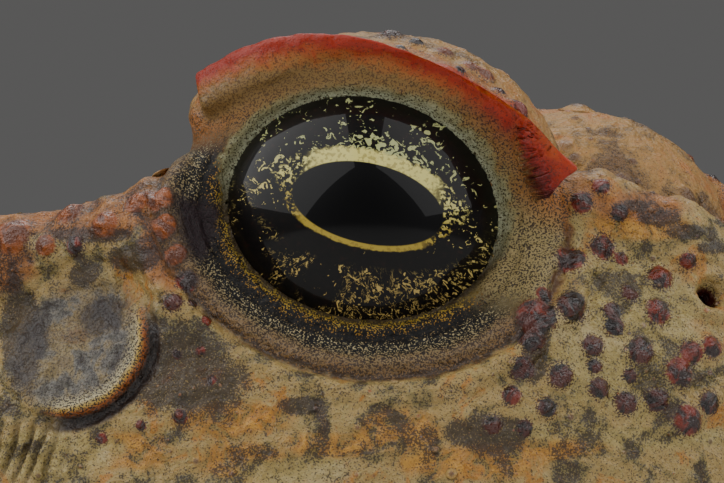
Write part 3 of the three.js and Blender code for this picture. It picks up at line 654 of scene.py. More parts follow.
WARTS_BEHIND_EYE = (
    (158, 199, 0.52, "orange"), (162, 227, 0.44, "orange"), (175, 255, 0.38, "orange"),
    (186, 281, 0.40, "red"), (172, 304, 0.33, "dark"), (193, 302, 0.22, "dark"), (207, 321, 0.20, "red"),
    (14, 237, 0.70, "orange"), (46, 245, 0.40, "orange"), (75, 245, 0.36, "red"), (105, 223, 0.50, "orange"),
    (71, 214, 0.55, "orange"), (138, 206, 0.46, "orange"), (181, 418, 0.28, "red"), (140, 426, 0.20, "red"),
    (102, 438, 0.22, "red"), (201, 352, 0.18, "red"), (177, 356, 0.16, "red"), (212, 380, 0.18, "red"),
)
WARTS_ON_LID = (
    (326, 24, 0.36, "orange"), (354, 24, 0.38, "red"), (392, 29, 0.40, "red"), (418, 37, 0.30, "dark"),
    (446, 46, 0.34, "orange"), (472, 61, 0.34, "orange"), (488, 72, 0.36, "orange"), (503, 86, 0.30, "dark"),
    (526, 108, 0.44, "red"), (404, 42, 0.26, "dark"), (462, 66, 0.24, "dark"),
)
WART_COLOURS = {"dark": 0, "red": 1, "orange": 2}
WART_SPREAD = 1.22  # how much wider a wart's foot is than the dark cap that the photo shows
WART_HEIGHT = 0.62  # of its radius

wart_top_and_nostril_pit = np.zeros(len(skin_points))
wart_tint_and_nostril_shade = np.zeros((len(skin_points), 3))
seen = np.flatnonzero(on_face & (keel_place[:, 0] < 0.2))
ragged = ripple(skin_points, 0.42, 9.0)
for x, y, radius, tint in WARTS_BEFORE_EYE + WARTS_BEHIND_EYE + WARTS_ON_LID:
    off = np.hypot(pixel_x[seen] - x, pixel_y[seen] - y)
    close = seen[off < 8]
    if len(close) == 0:
        continue
    centre = side_points[close[np.argmax(nearness[close] - off[off < 8] / 10)]]
    reach = length(side_points - centre)
    dome = bell(reach * (1 + 0.10 * ragged), radius * 1.55 * WART_SPREAD)
    lift += WART_HEIGHT * radius * WART_SPREAD * dome
    wart_top_and_nostril_pit = np.maximum(wart_top_and_nostril_pit, dome)
    wart_tint_and_nostril_shade[reach < radius * 1.9 * WART_SPREAD, WART_COLOURS[tint]] = 1

# The nostril is a pit with a raised rim; its inside is painted dark with the dark tips' colour, as painted
# shade.
NOSTRIL_IN_PICTURE, NOSTRIL_RADIUS, NOSTRIL_DEPTH = (710, 296), 0.72, 1.3
off = np.hypot(pixel_x[seen] - NOSTRIL_IN_PICTURE[0], pixel_y[seen] - NOSTRIL_IN_PICTURE[1])
nostril_off = length(side_points - side_points[seen[off.argmin()]])
pit = bell(nostril_off, NOSTRIL_RADIUS)
lift = lift * faded(nostril_off, 0.4, 1.6)
lift += 0.30 * band(nostril_off, NOSTRIL_RADIUS + 0.3, 0.5) - NOSTRIL_DEPTH * pit
wart_tint_and_nostril_shade *= faded(nostril_off, 0.7, 1.2)[:, None]
wart_tint_and_nostril_shade[nostril_off < NOSTRIL_RADIUS, WART_COLOURS["dark"]] = 1
wart_top_and_nostril_pit = np.maximum(wart_top_and_nostril_pit, 1.6 * pit)

# Wrinkles run down the side of the neck behind the ear, where the skin folds as the head turns.
WRINKLES_AT, WRINKLES_REACH, WRINKLE_PITCH = (24, 452), (60, 52), 15  # in the photo's pixels
from_wrinkles = pixel_x - WRINKLES_AT[0], pixel_y - WRINKLES_AT[1]
wrinkled = bell(np.hypot(from_wrinkles[0] / WRINKLES_REACH[0], from_wrinkles[1] / WRINKLES_REACH[1]), 1.0)
wrinkle_phase = (pixel_x + 0.35 * from_wrinkles[1] + 5 * wavy) / WRINKLE_PITCH
groove = on_face * wrinkled * faded(-np.cos(2 * math.pi * wrinkle_phase), -0.2, 1.0)
lift -= 0.34 * groove

lift += on_face * faded(share, 1.45, 1.8) * (1 - keel_place[:, 0]) * (0.12 * rough + 0.15 * wavy)
skin_points = skin_points + normals * lift[:, None]
skin_points[:, 2] = np.maximum(skin_points[:, 2], 0)
skin = mesh_object("skin", skin_points, triangles.tolist())

# Patches in the photo's pixels: middle across and down, half width and half height.
# Of the dark patches, the thin one at 90 across, under the ridge over the ear, and the row of four from 632
# across, under the ridge from the lid to the nostril, are painted shadow.
DARK_PATCHES_AND_SHADOWS = (
    (198, 231, 14, 34), (182, 372, 62, 52), (134, 258, 26, 14), (85, 275, 16, 12), (103, 315, 24, 20),
    (302, 405, 24, 9), (486, 433, 42, 22), (536, 350, 14, 34), (22, 340, 22, 60), (90, 235, 50, 8),
    (632, 206, 20, 7), (660, 217, 22, 8), (688, 232, 20, 8), (712, 248, 16, 8),
)
YELLOW_PATCHES = (
    (396, 432, 44, 24), (225, 420, 60, 16), (330, 446, 60, 14), (120, 452, 60, 18), (470, 462, 70, 18),
    (250, 460, 50, 18), (640, 225, 50, 14), (560, 445, 50, 14),
)
PALE_PATCHES = (
    (560, 432, 60, 9), (650, 438, 70, 10), (50, 455, 60, 26), (625, 330, 80, 75), (560, 240, 22, 50),
    (300, 470, 60, 14), (60, 370, 30, 30),
)
RED_PATCHES = (
    (163, 240, 22, 56), (70, 216, 100, 22), (145, 192, 44, 24), (10, 262, 26, 30), (572, 190, 26, 24),
    (640, 205, 50, 16), (571, 300, 22, 22),
)


def patches(places):
    """A soft mask with its edges broken up, over ellipses given in the photo's pixels."""
    mask = np.zeros(len(skin_points))
    for x, y, half_x, half_y in places:
        away = np.hypot((pixel_x - x) / half_x, (pixel_y - y) / half_y)
        mask = np.maximum(mask, faded(away + 0.3 * wavy + 0.2 * rough, 1.25, 0.75))
    return mask * on_face


downward = faded(-normals[:, 2], -0.25, 0.55)
low_down = faded(skin_points[:, 2] + 1.5 * wavy, 26.0, 12.0)
throat = faded(skin_points[:, 0], 16, 20) * faded(skin_points[:, 2] + 0.8 * wavy, 43.0, 37.5)
throat *= faded(arm(side_points), 0.8, 2.5)
belly = np.clip(np.maximum(downward * (1 - on_face), np.maximum(throat, low_down * downward)), 0, 1)
on_gland = faded(gland(side_points), 1.2, -0.2) * (normals[:, 2] > -0.2)
tips = np.array(FINGER_TIPS + TOE_TIPS, float)
tip_gap = np.min(np.linalg.norm(side_points[:, None] - tips[None], axis=2), axis=1)
tip = faded(tip_gap, 3.2, 1.6)


def mark(piece, name, values, kind="FLOAT_VECTOR"):
    """Stores one value for each point of a piece, for its finish to read."""
    layer = piece.data.attributes.new(name, kind, "POINT")
    field = {"FLOAT": "value", "FLOAT_VECTOR": "vector", "FLOAT_COLOR": "color"}[kind]
    layer.data.foreach_set(field, np.ascontiguousarray(values, dtype=np.float32).ravel())


mark(skin, "eye_place", np.column_stack((across, up, share)))
mark(skin, "keel", keel_place)
patch_masks = [patches(places) for places in (DARK_PATCHES_AND_SHADOWS, RED_PATCHES, YELLOW_PATCHES, PALE_PATCHES)]
mark(skin, "marks", np.column_stack(patch_masks), "FLOAT_COLOR")
mark(skin, "wart_tint_and_nostril_shade", wart_tint_and_nostril_shade * wart_top_and_nostril_pit[:, None])
mark(skin, "ear", np.column_stack((ear_share, rim_strength, groove)))
mark(skin, "zones", np.column_stack((belly, on_gland, tip)))
back = faded(normals[:, 2], -0.35, 0.35) * (1 - belly) * (1 - tip)
clear = faded(share, 1.5, 1.9) * faded(ear_share, 1.2, 1.6) * (1 - faded(keel_place[:, 0], 0.0, 0.3))
# Where the smaller warts and beads may stand.
crown = faded(skin_points[:, 0], 26, 30) * faded(skin_points[:, 2], 44, 47)
above_floor = faded(skin_points[:, 2], 3.0, 5.0)
STREWN = {
    "face_beads": on_face * (1 - wart_top_and_nostril_pit), "crown_warts": (1 - on_face) * crown,
    "body_warts": (1 - on_face) * (1 - crown) * above_floor,
}
for name, here in STREWN.items():
    mark(skin, name, back * clear * here, "FLOAT")

# The fine mesh is thinned where the skin is smooth.
thinning = skin.modifiers.new("thinning", "DECIMATE")
thinning.ratio = SKIN_TRIANGLES / len(triangles)
depsgraph = bpy.context.evaluated_depsgraph_get()
thinned = bpy.data.meshes.new_from_object(skin.evaluated_get(depsgraph), depsgraph=depsgraph)
skin.modifiers.remove(thinning)
skin.data = thinned


# Skin's finish
# Dry-looking but moist skin: a tan and olive ground, freckled with dark pigment cells, blotched
# brown on the back and cream below, with horn-tipped warts, a red keel and a banded rim to the eye.
def colour(shade):
    """A colour given as 0 to 255 on screen, as sockets take it; a socket stays as it is."""
    if not isinstance(shade, tuple):
        return shade
    return tuple(c / 255 / 12.92 if c < 11 else ((c / 255 + 0.055) / 1.055) ** 2.4 for c in shade) + (1,)


def filled(made, inputs):
    """A node with sockets linked where they are given a socket, and set otherwise."""
    for key, value in inputs.items():
        if isinstance(value, bpy.types.NodeSocket):
            made.id_data.links.new(value, made.inputs[key])
        else:
            made.inputs[key].default_value = value
    return made


def node(kind, inputs=(), **settings):
    """A new node of the tree in hand."""
    made = tree.nodes.new(kind)
    for key, value in settings.items():
        setattr(made, key, value)
    return filled(made, dict(inputs))


def mix(share, a, b):
    """Colour a, and b where the share is 1."""
    return node("ShaderNodeMix", {0: share, 6: colour(a), 7: colour(b)}, data_type="RGBA").outputs[2]


def maths(operation, a, b=0.0):
    return node("ShaderNodeMath", {0: a, 1: b}, operation=operation).outputs[0]


plus, minus, times, most = (
    functools.partial(maths, operation) for operation in ("ADD", "SUBTRACT", "MULTIPLY", "MAXIMUM")
)


def rest(a):
    """What is left of 1."""
    return minus(1.0, a)


def stepped(value, start, end):
    """0 below the start and 1 above the end, with a smooth rise."""
    inputs = {"Value": value, "From Min": start, "From Max": end}
    return node("ShaderNodeMapRange", inputs, interpolation_type="SMOOTHSTEP").outputs[0]


def ramp(value, stops):
    """Colours, or greys as numbers from 0 to 1, at places from 0 to 1."""
    stops = [(at, colour(shade) if isinstance(shade, tuple) else (shade,) * 3 + (1,)) for at, shade in stops]
    made = node("ShaderNodeValToRGB", {0: value})
    bar = made.color_ramp.elements
    for at, shade in stops[1:-1]:
        bar.new(at).color = shade
    bar[0].position, bar[0].color = stops[0]
    bar[len(bar) - 1].position, bar[len(bar) - 1].color = stops[-1]
    return made.outputs[0]


def read(name, socket="Vector"):
    made = node("ShaderNodeAttribute", attribute_name=name)
    if socket != "Vector":
        return made.outputs[socket]
    return node("ShaderNodeSeparateXYZ", {0: made.outputs["Vector"]}).outputs


def noisy(place, scale, detail, roughness=0.5, distortion=0.0):
    return node("ShaderNodeTexNoise", {
        "Vector": place, "Scale": scale, "Detail": detail, "Roughness": roughness,
        "Distortion": distortion,
    }).outputs["Fac"]


def cloud(place, size, detail=3.0, roughness=0.55, distortion=0.0):
    """Cloudy noise whose patches are about size millimetres across."""
    return noisy(place, 1 / (size * MM), detail, roughness, distortion)


# Grain: the fine pigment speckle, from 0 to 1, and the pebbled surface that skin and warts share.
tree = grain = bpy.data.node_groups.new("grain", "ShaderNodeTree")
grain.interface.new_socket("Place", in_out="INPUT", socket_type="NodeSocketVector")
for name in ("Speckle", "Height"):
    grain.interface.new_socket(name, in_out="OUTPUT", socket_type="NodeSocketFloat")
given = grain.nodes.new("NodeGroupInput").outputs
result = grain.nodes.new("NodeGroupOutput")
fine = cloud(given["Place"], 0.078, 1.0, 0.5)
speckle = node("ShaderNodeMapRange", {"Value": fine, "From Min": 0.3, "From Max": 0.7}).outputs[0]
coarse = cloud(given["Place"], 0.24, 2.0, 0.6)
pebbled = {"Vector": given["Place"], "Scale": 1 / (0.5 * MM)}
pebbles = node("ShaderNodeTexVoronoi", pebbled, feature="SMOOTH_F1").outputs["Distance"]
height = minus(times(coarse, 0.9), pebbles)
filled(result, {"Speckle": speckle, "Height": plus(height, times(fine, 0.25))})

skin_look = bpy.data.materials.new("toad skin")
skin_look.use_nodes = True
tree = skin_look.node_tree
place = node("ShaderNodeTexCoord").outputs["Object"]
eye_across, eye_up, eye_out = read("eye_place")
keel_near, keel_height, keel_along = read("keel")
tint_dark_and_nostril_shade, tint_red, tint_orange = read("wart_tint_and_nostril_shade")
belly_here, gland_here, tip_here = read("zones")
ear_out, ear_rim, groove_shade_here = read("ear")
marks_colour = node("ShaderNodeAttribute", attribute_name="marks")
marks = node("ShaderNodeSeparateColor", {0: marks_colour.outputs["Color"]}).outputs
pale_mark = marks_colour.outputs["Alpha"]
bead = read("bead", "Fac")
bead_kind = read("bead_kind", "Fac")
grained = filled(node("ShaderNodeGroup", node_tree=grain), {"Place": place})
speckle = grained.outputs["Speckle"]
TAN, OLIVE, OCHRE = (170, 143, 86), (130, 116, 68), (178, 120, 42)
DARK, CREAM = (40, 29, 27), (186, 168, 122)
PORE_SPACING = 1.9  # on the poison gland


def stippled(amount, softness=0.14):
    """A mask of fine specks that cover the given share of the skin."""
    return stepped(plus(speckle, amount), 1 - softness, 1 + softness)


# Ground
patchy = cloud(place, 2.2, 4.0, 0.62, 0.4)
streaky = cloud(place, 0.8, 3.0, 0.6, 0.8)
ground = ramp(patchy, (
    (0.32, (116, 90, 50)), (0.42, OLIVE), (0.50, TAN), (0.58, TAN), (0.63, OCHRE), (0.70, TAN),
))
ground = mix(times(stepped(streaky, 0.55, 0.66), 0.5), ground, (172, 152, 96))
blotchy = cloud(place, 13.0, 3.0, 0.62, 0.6)
on_body = stepped(eye_out, 5.0, 8.0)
at = node("ShaderNodeSeparateXYZ", {0: place}).outputs
off_head = stepped(at[0], 28 * MM, 18 * MM)
on_lid = times(stepped(at[2], 57.5 * MM, 60.5 * MM), rest(off_head))
for here, strength, texture, stops in (
    (gland_here, 0.75, patchy, ((0.35, (84, 58, 34)), (0.5, (126, 90, 48)), (0.66, (150, 112, 62)))),
    (marks[2], 0.75, streaky, ((0.38, (150, 122, 58)), (0.5, (176, 116, 30)), (0.62, (206, 146, 48)))),
    (marks[1], 0.8, streaky, ((0.36, (104, 52, 20)), (0.5, (152, 86, 32)), (0.64, (178, 108, 44)))),
    (on_lid, 0.75, patchy, ((0.36, (128, 92, 50)), (0.5, (168, 122, 62)), (0.64, (176, 112, 56)))),
    (pale_mark, 0.9, patchy, ((0.40, (146, 128, 72)), (0.52, (172, 152, 92)), (0.66, (184, 166, 116)))),
):
    ground = mix(times(here, strength), ground, ramp(texture, stops))
underside = ramp(cloud(place, 3.4, 4.0, 0.6), ((0.38, (104, 88, 60)), (0.48, CREAM), (0.7, (204, 190, 150))))
ground = mix(belly_here, ground, underside)
dark_share = times(stepped(patchy, 0.50, 0.36), 0.5)
dark_share = plus(dark_share, times(stepped(streaky, 0.48, 0.34), 0.26))
# The dark patches bring their painted shadow under the two ridges into this darkening.
dark_share = most(plus(dark_share, 0.18), times(marks[0], 0.86))
dark_share = most(dark_share, times(times(stepped(blotchy, 0.51, 0.57), times(on_body, off_head)), 0.72))
for here, cleared in ((belly_here, 0.7), (on_lid, 0.45)):
    dark_share = times(dark_share, rest(times(here, cleared)))
ground = mix(plus(times(dark_share, 0.34), times(marks[0], 0.2)), ground, DARK)
ground = mix(times(stippled(dark_share), 0.76), ground, DARK)
# Painted shade: the wrinkles' grooves are darkened.
ground = mix(times(groove_shade_here, 0.7), ground, (58, 44, 32))

# Rim and folds of the eye
wander = times(minus(cloud(place, 0.6, 3.0), 0.5), 0.16)
rim_scale = times(minus(plus(eye_out, wander), 0.95), 1.25)
behind = stepped(eye_across, 3.5, -0.5)
rim_edge = ramp(rim_scale, ((0.0, (96, 92, 58)), (0.06, (156, 158, 128)), (0.2, (126, 118, 78))))
rim_edge = mix(stepped(eye_up, 0.8, -1.6), rim_edge, (58, 44, 18))
gold_share = ramp(rim_scale, (
    (0.05, 0.3), (0.12, 0.5), (0.22, 0.26), (0.27, 0.0), (0.34, 0.24), (0.46, 0.36), (0.56, 0.5),
    (0.66, 0.6), (0.70, 0.1), (0.78, 0.6),
))
gold_tone = ramp(rim_scale, (
    (0.10, (180, 152, 54)), (0.24, (148, 104, 34)), (0.36, (172, 158, 118)), (0.52, (132, 112, 76)),
    (0.66, (122, 92, 54)), (0.78, (140, 96, 46)),
))
lid_dark = mix(stepped(rim_scale, 0.46, 0.60), (9, 6, 5), (66, 48, 32))
banded = mix(stippled(minus(gold_share, 0.02), 0.1), lid_dark, gold_tone)
front_lid = mix(stippled(0.42), (150, 132, 86), (58, 46, 30))
# Beyond it comes a dark line, painted shade in the lid's outer fold, and then a tan band.
for start, end, shade in ((0.62, 0.70, (92, 62, 34)), (0.70, 0.78, (150, 112, 56))):
    front_lid = mix(stepped(rim_scale, start, end), front_lid, shade)
lower_lid = mix(most(behind, stepped(eye_up, -1.6, -3.6)), front_lid, banded)
# The upper lid is pale at the rim and orange-brown towards the keel; the darker brown between them is
# painted shade under the keel.
upper_tone_with_shade = ramp(rim_scale, ((0.1, (156, 140, 78)), (0.24, (130, 98, 52)), (0.5, (166, 106, 48))))
upper_lid = mix(stippled(0.38), upper_tone_with_shade, (62, 42, 26))
eye_skin = mix(stepped(eye_up, 2.6, 0.6), upper_lid, lower_lid)
rim_outer = minus(rim_scale, times(stepped(eye_up, -1.6, 0.8), 0.1))
eye_skin = mix(stepped(rim_outer, 0.15, 0.07), eye_skin, mix(stippled(0.3), rim_edge, (62, 52, 24)))
ground = mix(stepped(rim_scale, 0.80, 0.70), ground, eye_skin)
corner = times(stepped(eye_across, -5.7, -6.3), stepped(eye_up, -0.9, -1.7))
corner = times(corner, times(stepped(eye_up, -4.6, -3.6), stepped(eye_out, 1.5, 1.3)))
ground = mix(times(corner, stippled(0.8)), ground, (34, 18, 22))

# Keel of the upper lid
toothed = plus(keel_height, times(minus(streaky, 0.5), 0.8))
keel_face = ramp(toothed, (
    (0.12, (134, 104, 58)), (0.38, (156, 96, 42)), (0.66, (158, 66, 20)), (0.86, (148, 34, 4)),
    (1.0, (158, 38, 6)),
))
# The keel's front is red at its edge and deep dark red at its foot: partly its own deeper red, partly
# painted shade under the overhanging edge.
keel_front_with_shade = ramp(toothed, (
    (0.0, (70, 16, 8)), (0.3, (120, 18, 4)), (0.7, (154, 34, 6)), (1.0, (172, 54, 18)),
))
keel_colour = mix(stepped(keel_along, 0.60, 0.80), keel_face, keel_front_with_shade)
keel_specks = stippled(minus(0.42, times(toothed, 0.3)))
keel_colour = mix(times(keel_specks, 0.6), keel_colour, (48, 18, 12))
ground = mix(keel_near, ground, keel_colour)

# Eardrum, its rim with a painted highlight and a painted shadow outside it
drum = ramp(patchy, (
    (0.38, (48, 42, 42)), (0.47, (98, 98, 98)), (0.54, (136, 118, 82)), (0.62, (104, 86, 60)),
))
drum = mix(times(marks[0], 0.8), drum, (44, 34, 34))
drum = mix(times(stippled(0.4), 0.7), drum, (52, 42, 38))
# The rim's cream and orange band is partly its own colour and partly painted highlight, and the near-black
# crescent outside it is painted shadow beneath the raised rim; both are painted only where the rim is
# strong, in front and below.
drum_rim_highlight_and_shadow = ramp(times(ear_out, 0.6), (
    (0.48, (140, 128, 100)), (0.56, (184, 172, 132)), (0.605, (190, 156, 70)), (0.635, (158, 84, 22)),
    (0.67, (22, 14, 12)), (0.74, (30, 20, 18)), (0.80, (70, 54, 38)),
))
drum_rim_highlight_and_shadow = mix(stippled(0.44), drum_rim_highlight_and_shadow, (48, 36, 28))
rim_highlight_and_shadow_here = times(stepped(ear_out, 0.72, 0.84), stepped(ear_rim, 0.35, 0.7))
ground = mix(times(stepped(ear_out, 1.1, 0.8), 0.85), ground, drum)
ground = mix(times(rim_highlight_and_shadow_here, stepped(ear_out, 1.36, 1.26)), ground, drum_rim_highlight_and_shadow)

# Tips of the warts and painted shade in the nostril, and the horn of the digits
base = ground
halo = stepped(most(tint_dark_and_nostril_shade, most(tint_red, tint_orange)), 0.02, 0.3)
base = mix(times(halo, stippled(0.45)), base, (62, 36, 26))
blushed = stepped(streaky, 0.42, 0.60)
dark_tip_and_nostril_shade = mix(times(blushed, 0.55), (24, 12, 10), (98, 34, 16))
red_tip = mix(blushed, (38, 14, 9), (118, 34, 8))
orange_tip = mix(blushed, (96, 46, 16), (150, 78, 26))
grainy = times(minus(speckle, 0.5), 0.16)
# The dark tips' colour also fills the nostril's pit as painted shade.
for tint, shade in ((tint_orange, orange_tip), (tint_red, red_tip), (tint_dark_and_nostril_shade, dark_tip_and_nostril_shade)):
    base = mix(stepped(plus(tint, grainy), 0.26, 0.5), base, shade)
bead_shade = ramp(bead_kind, (
    (0.0, (44, 26, 18)), (0.3, (84, 46, 26)), (0.55, (112, 72, 40)), (0.8, (136, 106, 62)),
    (1.0, (150, 78, 44)),
))
base = mix(times(stepped(bead, 0.3, 1.0), 0.75), base, bead_shade)
base = mix(times(tip_here, 0.75), base, (52, 34, 24))

tipped = most(most(tint_dark_and_nostril_shade, tint_red), most(tint_orange, bead))
glossy_top = most(tipped, times(keel_near, 0.15))
roughness = plus(times(cloud(place, 0.7, 3.0), 0.6), 0.14)
roughness = minus(roughness, times(glossy_top, 0.2))
pore_cells = node("ShaderNodeTexVoronoi", {"Vector": place, "Scale": 1 / (PORE_SPACING * MM)})
pores = stepped(pore_cells.outputs["Distance"], 0.18, 0.08)
relief = minus(grained.outputs["Height"], times(times(pores, gland_here), 2.0))
relief = plus(relief, times(streaky, 1.4))
relief = times(relief, rest(times(keel_near, 0.55)))
bump = node("ShaderNodeBump", {"Strength": 1.0, "Distance": 0.14 * MM, "Height": relief})
round_eye = stepped(rim_scale, 0.66, 0.5)
dry = most(times(on_body, 0.6), round_eye)
wet = times(plus(times(glossy_top, 0.5), 0.22), rest(dry))
wet = times(wet, rest(times(keel_near, 0.7)))
roughness = plus(roughness, times(round_eye, 0.2))
filled(tree.nodes["Principled BSDF"], {
    "Base Color": base, "Roughness": roughness, "Normal": bump.outputs["Normal"],
    "Coat Normal": bump.outputs["Normal"], "Coat Weight": wet, "Coat Roughness": 0.09,
    "Specular IOR Level": 0.36, "Subsurface Weight": 0.08, "Subsurface Radius": (1.0, 0.45, 0.25),
    "Subsurface Scale": 0.4 * MM,
})
skin.data.materials.append(skin_look)
flesh_nodes = [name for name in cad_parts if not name.startswith("eye_")]
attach(skin, "root")
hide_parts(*flesh_nodes)


# Beads and warts
# Low horn-topped domes stand all over the back, the limbs and the crown, a few large among many
# small, and fine beads fill the face between the main warts. Each is a flared dome set in the skin.
DOME_PROFILE = ((1.55, -0.12), (1.15, 0.02), (0.82, 0.20), (0.46, 0.38))
DOME_TOP = 0.44
DOME_SIDES = 8

turns = [2 * math.pi * k / DOME_SIDES for k in range(DOME_SIDES)]
dome_points = [(r * math.cos(turn), r * math.sin(turn), z) for r, z in DOME_PROFILE for turn in turns]
dome_points.append((0, 0, DOME_TOP))
dome_faces = [tuple(reversed(range(DOME_SIDES)))]
last_ring = (len(DOME_PROFILE) - 1) * DOME_SIDES
for ring in range(0, last_ring + 1, DOME_SIDES):
    for k in range(DOME_SIDES):
        a, b = ring + k, ring + (k + 1) % DOME_SIDES
        above = (b + DOME_SIDES, a + DOME_SIDES) if ring < last_ring else (len(dome_points) - 1,)
        dome_faces.append((a, b, *above))
dome_mesh = bpy.data.meshes.new("dome")
dome_mesh.from_pydata(dome_points, [], dome_faces)
dome_mesh.shade_smooth()
dome = bpy.data.objects.new("dome", dome_mesh)
mark(dome, "bead", [max(0.0, z) / DOME_TOP for x, y, z in dome_points], "FLOAT")

tree = studding = bpy.data.node_groups.new("studding", "GeometryNodeTree")
for name, kind in (
    ("Geometry", "Geometry"), ("Dome", "Object"), ("Where", "String"), ("Spacing", "Float"),
    ("Density", "Float"), ("Smallest", "Float"), ("Largest", "Float"), ("Seed", "Int"),
    ("Finish", "Material"),
):
    studding.interface.new_socket(name, in_out="INPUT", socket_type="NodeSocket" + kind)
studding.interface.new_socket("Geometry", in_out="OUTPUT", socket_type="NodeSocketGeometry")
given = studding.nodes.new("NodeGroupInput").outputs
allowed = node("GeometryNodeInputNamedAttribute", {"Name": given["Where"]}, data_type="FLOAT")
spots = node("GeometryNodeDistributePointsOnFaces", {
    "Mesh": given["Geometry"], "Distance Min": given["Spacing"], "Density Max": given["Density"],
    "Density Factor": allowed.outputs["Attribute"], "Seed": given["Seed"],
}, distribute_method="POISSON")
chance = node("FunctionNodeRandomValue", {"Seed": given["Seed"]}, data_type="FLOAT").outputs[1]
large = maths("POWER", chance, 4.0)
size_range = {"Value": large, "To Min": given["Smallest"], "To Max": given["Largest"]}
size = node("ShaderNodeMapRange", size_range).outputs[0]
studs = node("GeometryNodeInstanceOnPoints", {
    "Points": spots.outputs["Points"],
    "Instance": node("GeometryNodeObjectInfo", {"Object": given["Dome"]}).outputs["Geometry"],
    "Rotation": spots.outputs["Rotation"],
    "Scale": size,
})
kind_of = node("FunctionNodeRandomValue", {"Seed": 7}, data_type="FLOAT").outputs[1]
marked = node("GeometryNodeStoreNamedAttribute", {
    "Geometry": studs.outputs["Instances"], "Name": "bead_kind", "Value": kind_of,
}, data_type="FLOAT", domain="INSTANCE")
realized = node("GeometryNodeRealizeInstances", {"Geometry": marked.outputs["Geometry"]})
dressed = node("GeometryNodeSetMaterial", {
    "Geometry": realized.outputs["Geometry"], "Material": given["Finish"],
})
node("NodeGroupOutput", {"Geometry": dressed.outputs["Geometry"]})


def studded(name, where, spacing, density, smallest, largest, seed):
    """Domes strewn over the skin where an attribute allows, as one plain mesh; sizes in millimetres."""
    modifier = skin.modifiers.new(name, "NODES")
    modifier.node_group = studding
    values = {
        "Dome": dome, "Where": where, "Spacing": spacing * MM, "Density": density / MM**2,
        "Smallest": smallest * MM, "Largest": largest * MM, "Seed": seed, "Finish": skin_look,
    }
    for item in studding.interface.items_tree:
        if item.name in values:
            modifier[item.identifier] = values[item.name]
    depsgraph = bpy.context.evaluated_depsgraph_get()
    mesh = bpy.data.meshes.new_from_object(skin.evaluated_get(depsgraph), depsgraph=depsgraph)
    skin.modifiers.remove(modifier)
    mesh.name = name
    piece = bpy.data.objects.new(name, mesh)
    bpy.context.scene.collection.objects.link(piece)
    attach(piece, "root")
    return piece


studded("face_beads", "face_beads", 0.5, 2.0, 0.06, 0.2, 11)
studded("crown_warts", "crown_warts", 0.9, 1.2, 0.2, 0.75, 3)
studded("body_warts", "body_warts", 2.1, 0.5, 0.5, 1.9, 5)
studded("body_beads", "body_warts", 1.3, 0.7, 0.22, 0.5, 8)
for name in STREWN:
    skin.data.attributes.remove(skin.data.attributes[name])
bpy.data.objects.remove(dome)


# Eyes
# A ball of wet black glass to look at: a level pupil, a broken gold ring round it, and pale gold
# flecks running out over a black iris, all under one clear, glossy cornea.
PUPIL_HALF = (3.3, 1.72)
PUPIL_OFFSET = (0.3, 0.2)
PUPIL_TILT = math.radians(13)
EYE_TURNS, EYE_RINGS = 96, 64

eye_look = bpy.data.materials.new("eye")
eye_look.use_nodes = True
tree = eye_look.node_tree
gaze = read("gaze")
flat_place = node("ShaderNodeAttribute", attribute_name="gaze").outputs["Vector"]
wobble = noisy(flat_place, 3.2, 4.0, 0.6)
fringe = times(minus(wobble, 0.5), 0.5)
u, v = maths("DIVIDE", gaze[0], PUPIL_HALF[0]), maths("DIVIDE", gaze[1], PUPIL_HALF[1])
pupil_share = maths("SQRT", plus(times(u, u), times(v, v)))
upper = stepped(v, -0.3, 0.5)
ring_width = plus(times(upper, 0.22), 0.14)
past_pupil = minus(pupil_share, 1.0)
fringed = most(upper, 0.22)
ring_share = maths("DIVIDE", plus(past_pupil, times(fringe, fringed)), ring_width)
ends = stepped(maths("ABSOLUTE", u), 0.72, 0.98)
broken = noisy(flat_place, 6.0, 2.0)
ring_solid = rest(times(ends, stepped(broken, 0.36, 0.5)))
ring_mask = times(stepped(past_pupil, 0.0, 0.03), stepped(ring_share, 1.15, 0.85))
ring_mask = times(ring_mask, ring_solid)
around = maths("ARCTAN2", gaze[1], gaze[0])
angle_place = node("ShaderNodeCombineXYZ", {
    0: times(maths("COSINE", around), 5.0), 1: times(maths("SINE", around), 5.0),
    2: times(pupil_share, 1.3),
}).outputs[0]
vermicular = noisy(angle_place, 2.0, 4.0, 0.65, 1.2)
streaks = minus(0.5, maths("ABSOLUTE", minus(vermicular, 0.5)))
worms = noisy(flat_place, 2.9, 2.6, 0.6, 1.3)
crowd = times(stepped(v, 0.2, 1.0), stepped(maths("ABSOLUTE", u), 1.1, 0.6))
crowd = times(crowd, stepped(pupil_share, 2.3, 1.3))
clusters = noisy(flat_place, 0.55, 1.0)
under_pupil = times(stepped(v, -0.2, -0.7), stepped(pupil_share, 1.75, 1.45))
dark_edge = stepped(gaze[2], 0.80, 0.98)
limit = minus(0.662, times(crowd, 0.10))
limit = minus(limit, times(stepped(clusters, 0.40, 0.58), 0.075))
limit = plus(limit, plus(times(dark_edge, 0.03), times(under_pupil, 0.12)))
flecks = stepped(minus(worms, limit), 0.0, 0.03)
branching = times(stepped(v, 0.3, -0.6), stepped(pupil_share, 1.5, 1.8))
lines = times(stepped(streaks, 0.474, 0.484), stepped(broken, 0.46, 0.54))
lines = times(lines, times(branching, stepped(clusters, 0.43, 0.53)))
flecks = most(flecks, times(lines, 0.8))
flecks = times(flecks, stepped(pupil_share, 1.0, 1.06))
fleck_colour = ramp(plus(times(gaze[1], 0.15), 0.5), (
    (0.0, (206, 176, 100)), (0.5, (222, 204, 122)), (0.85, (186, 190, 130)),
))
iris = ramp(wobble, ((0.35, (3, 2, 2)), (0.58, (8, 5, 4)), (0.7, (26, 9, 6))))
iris = mix(times(flecks, 0.85), iris, fleck_colour)
ring_colour = mix(upper, (176, 152, 60), (218, 208, 124))
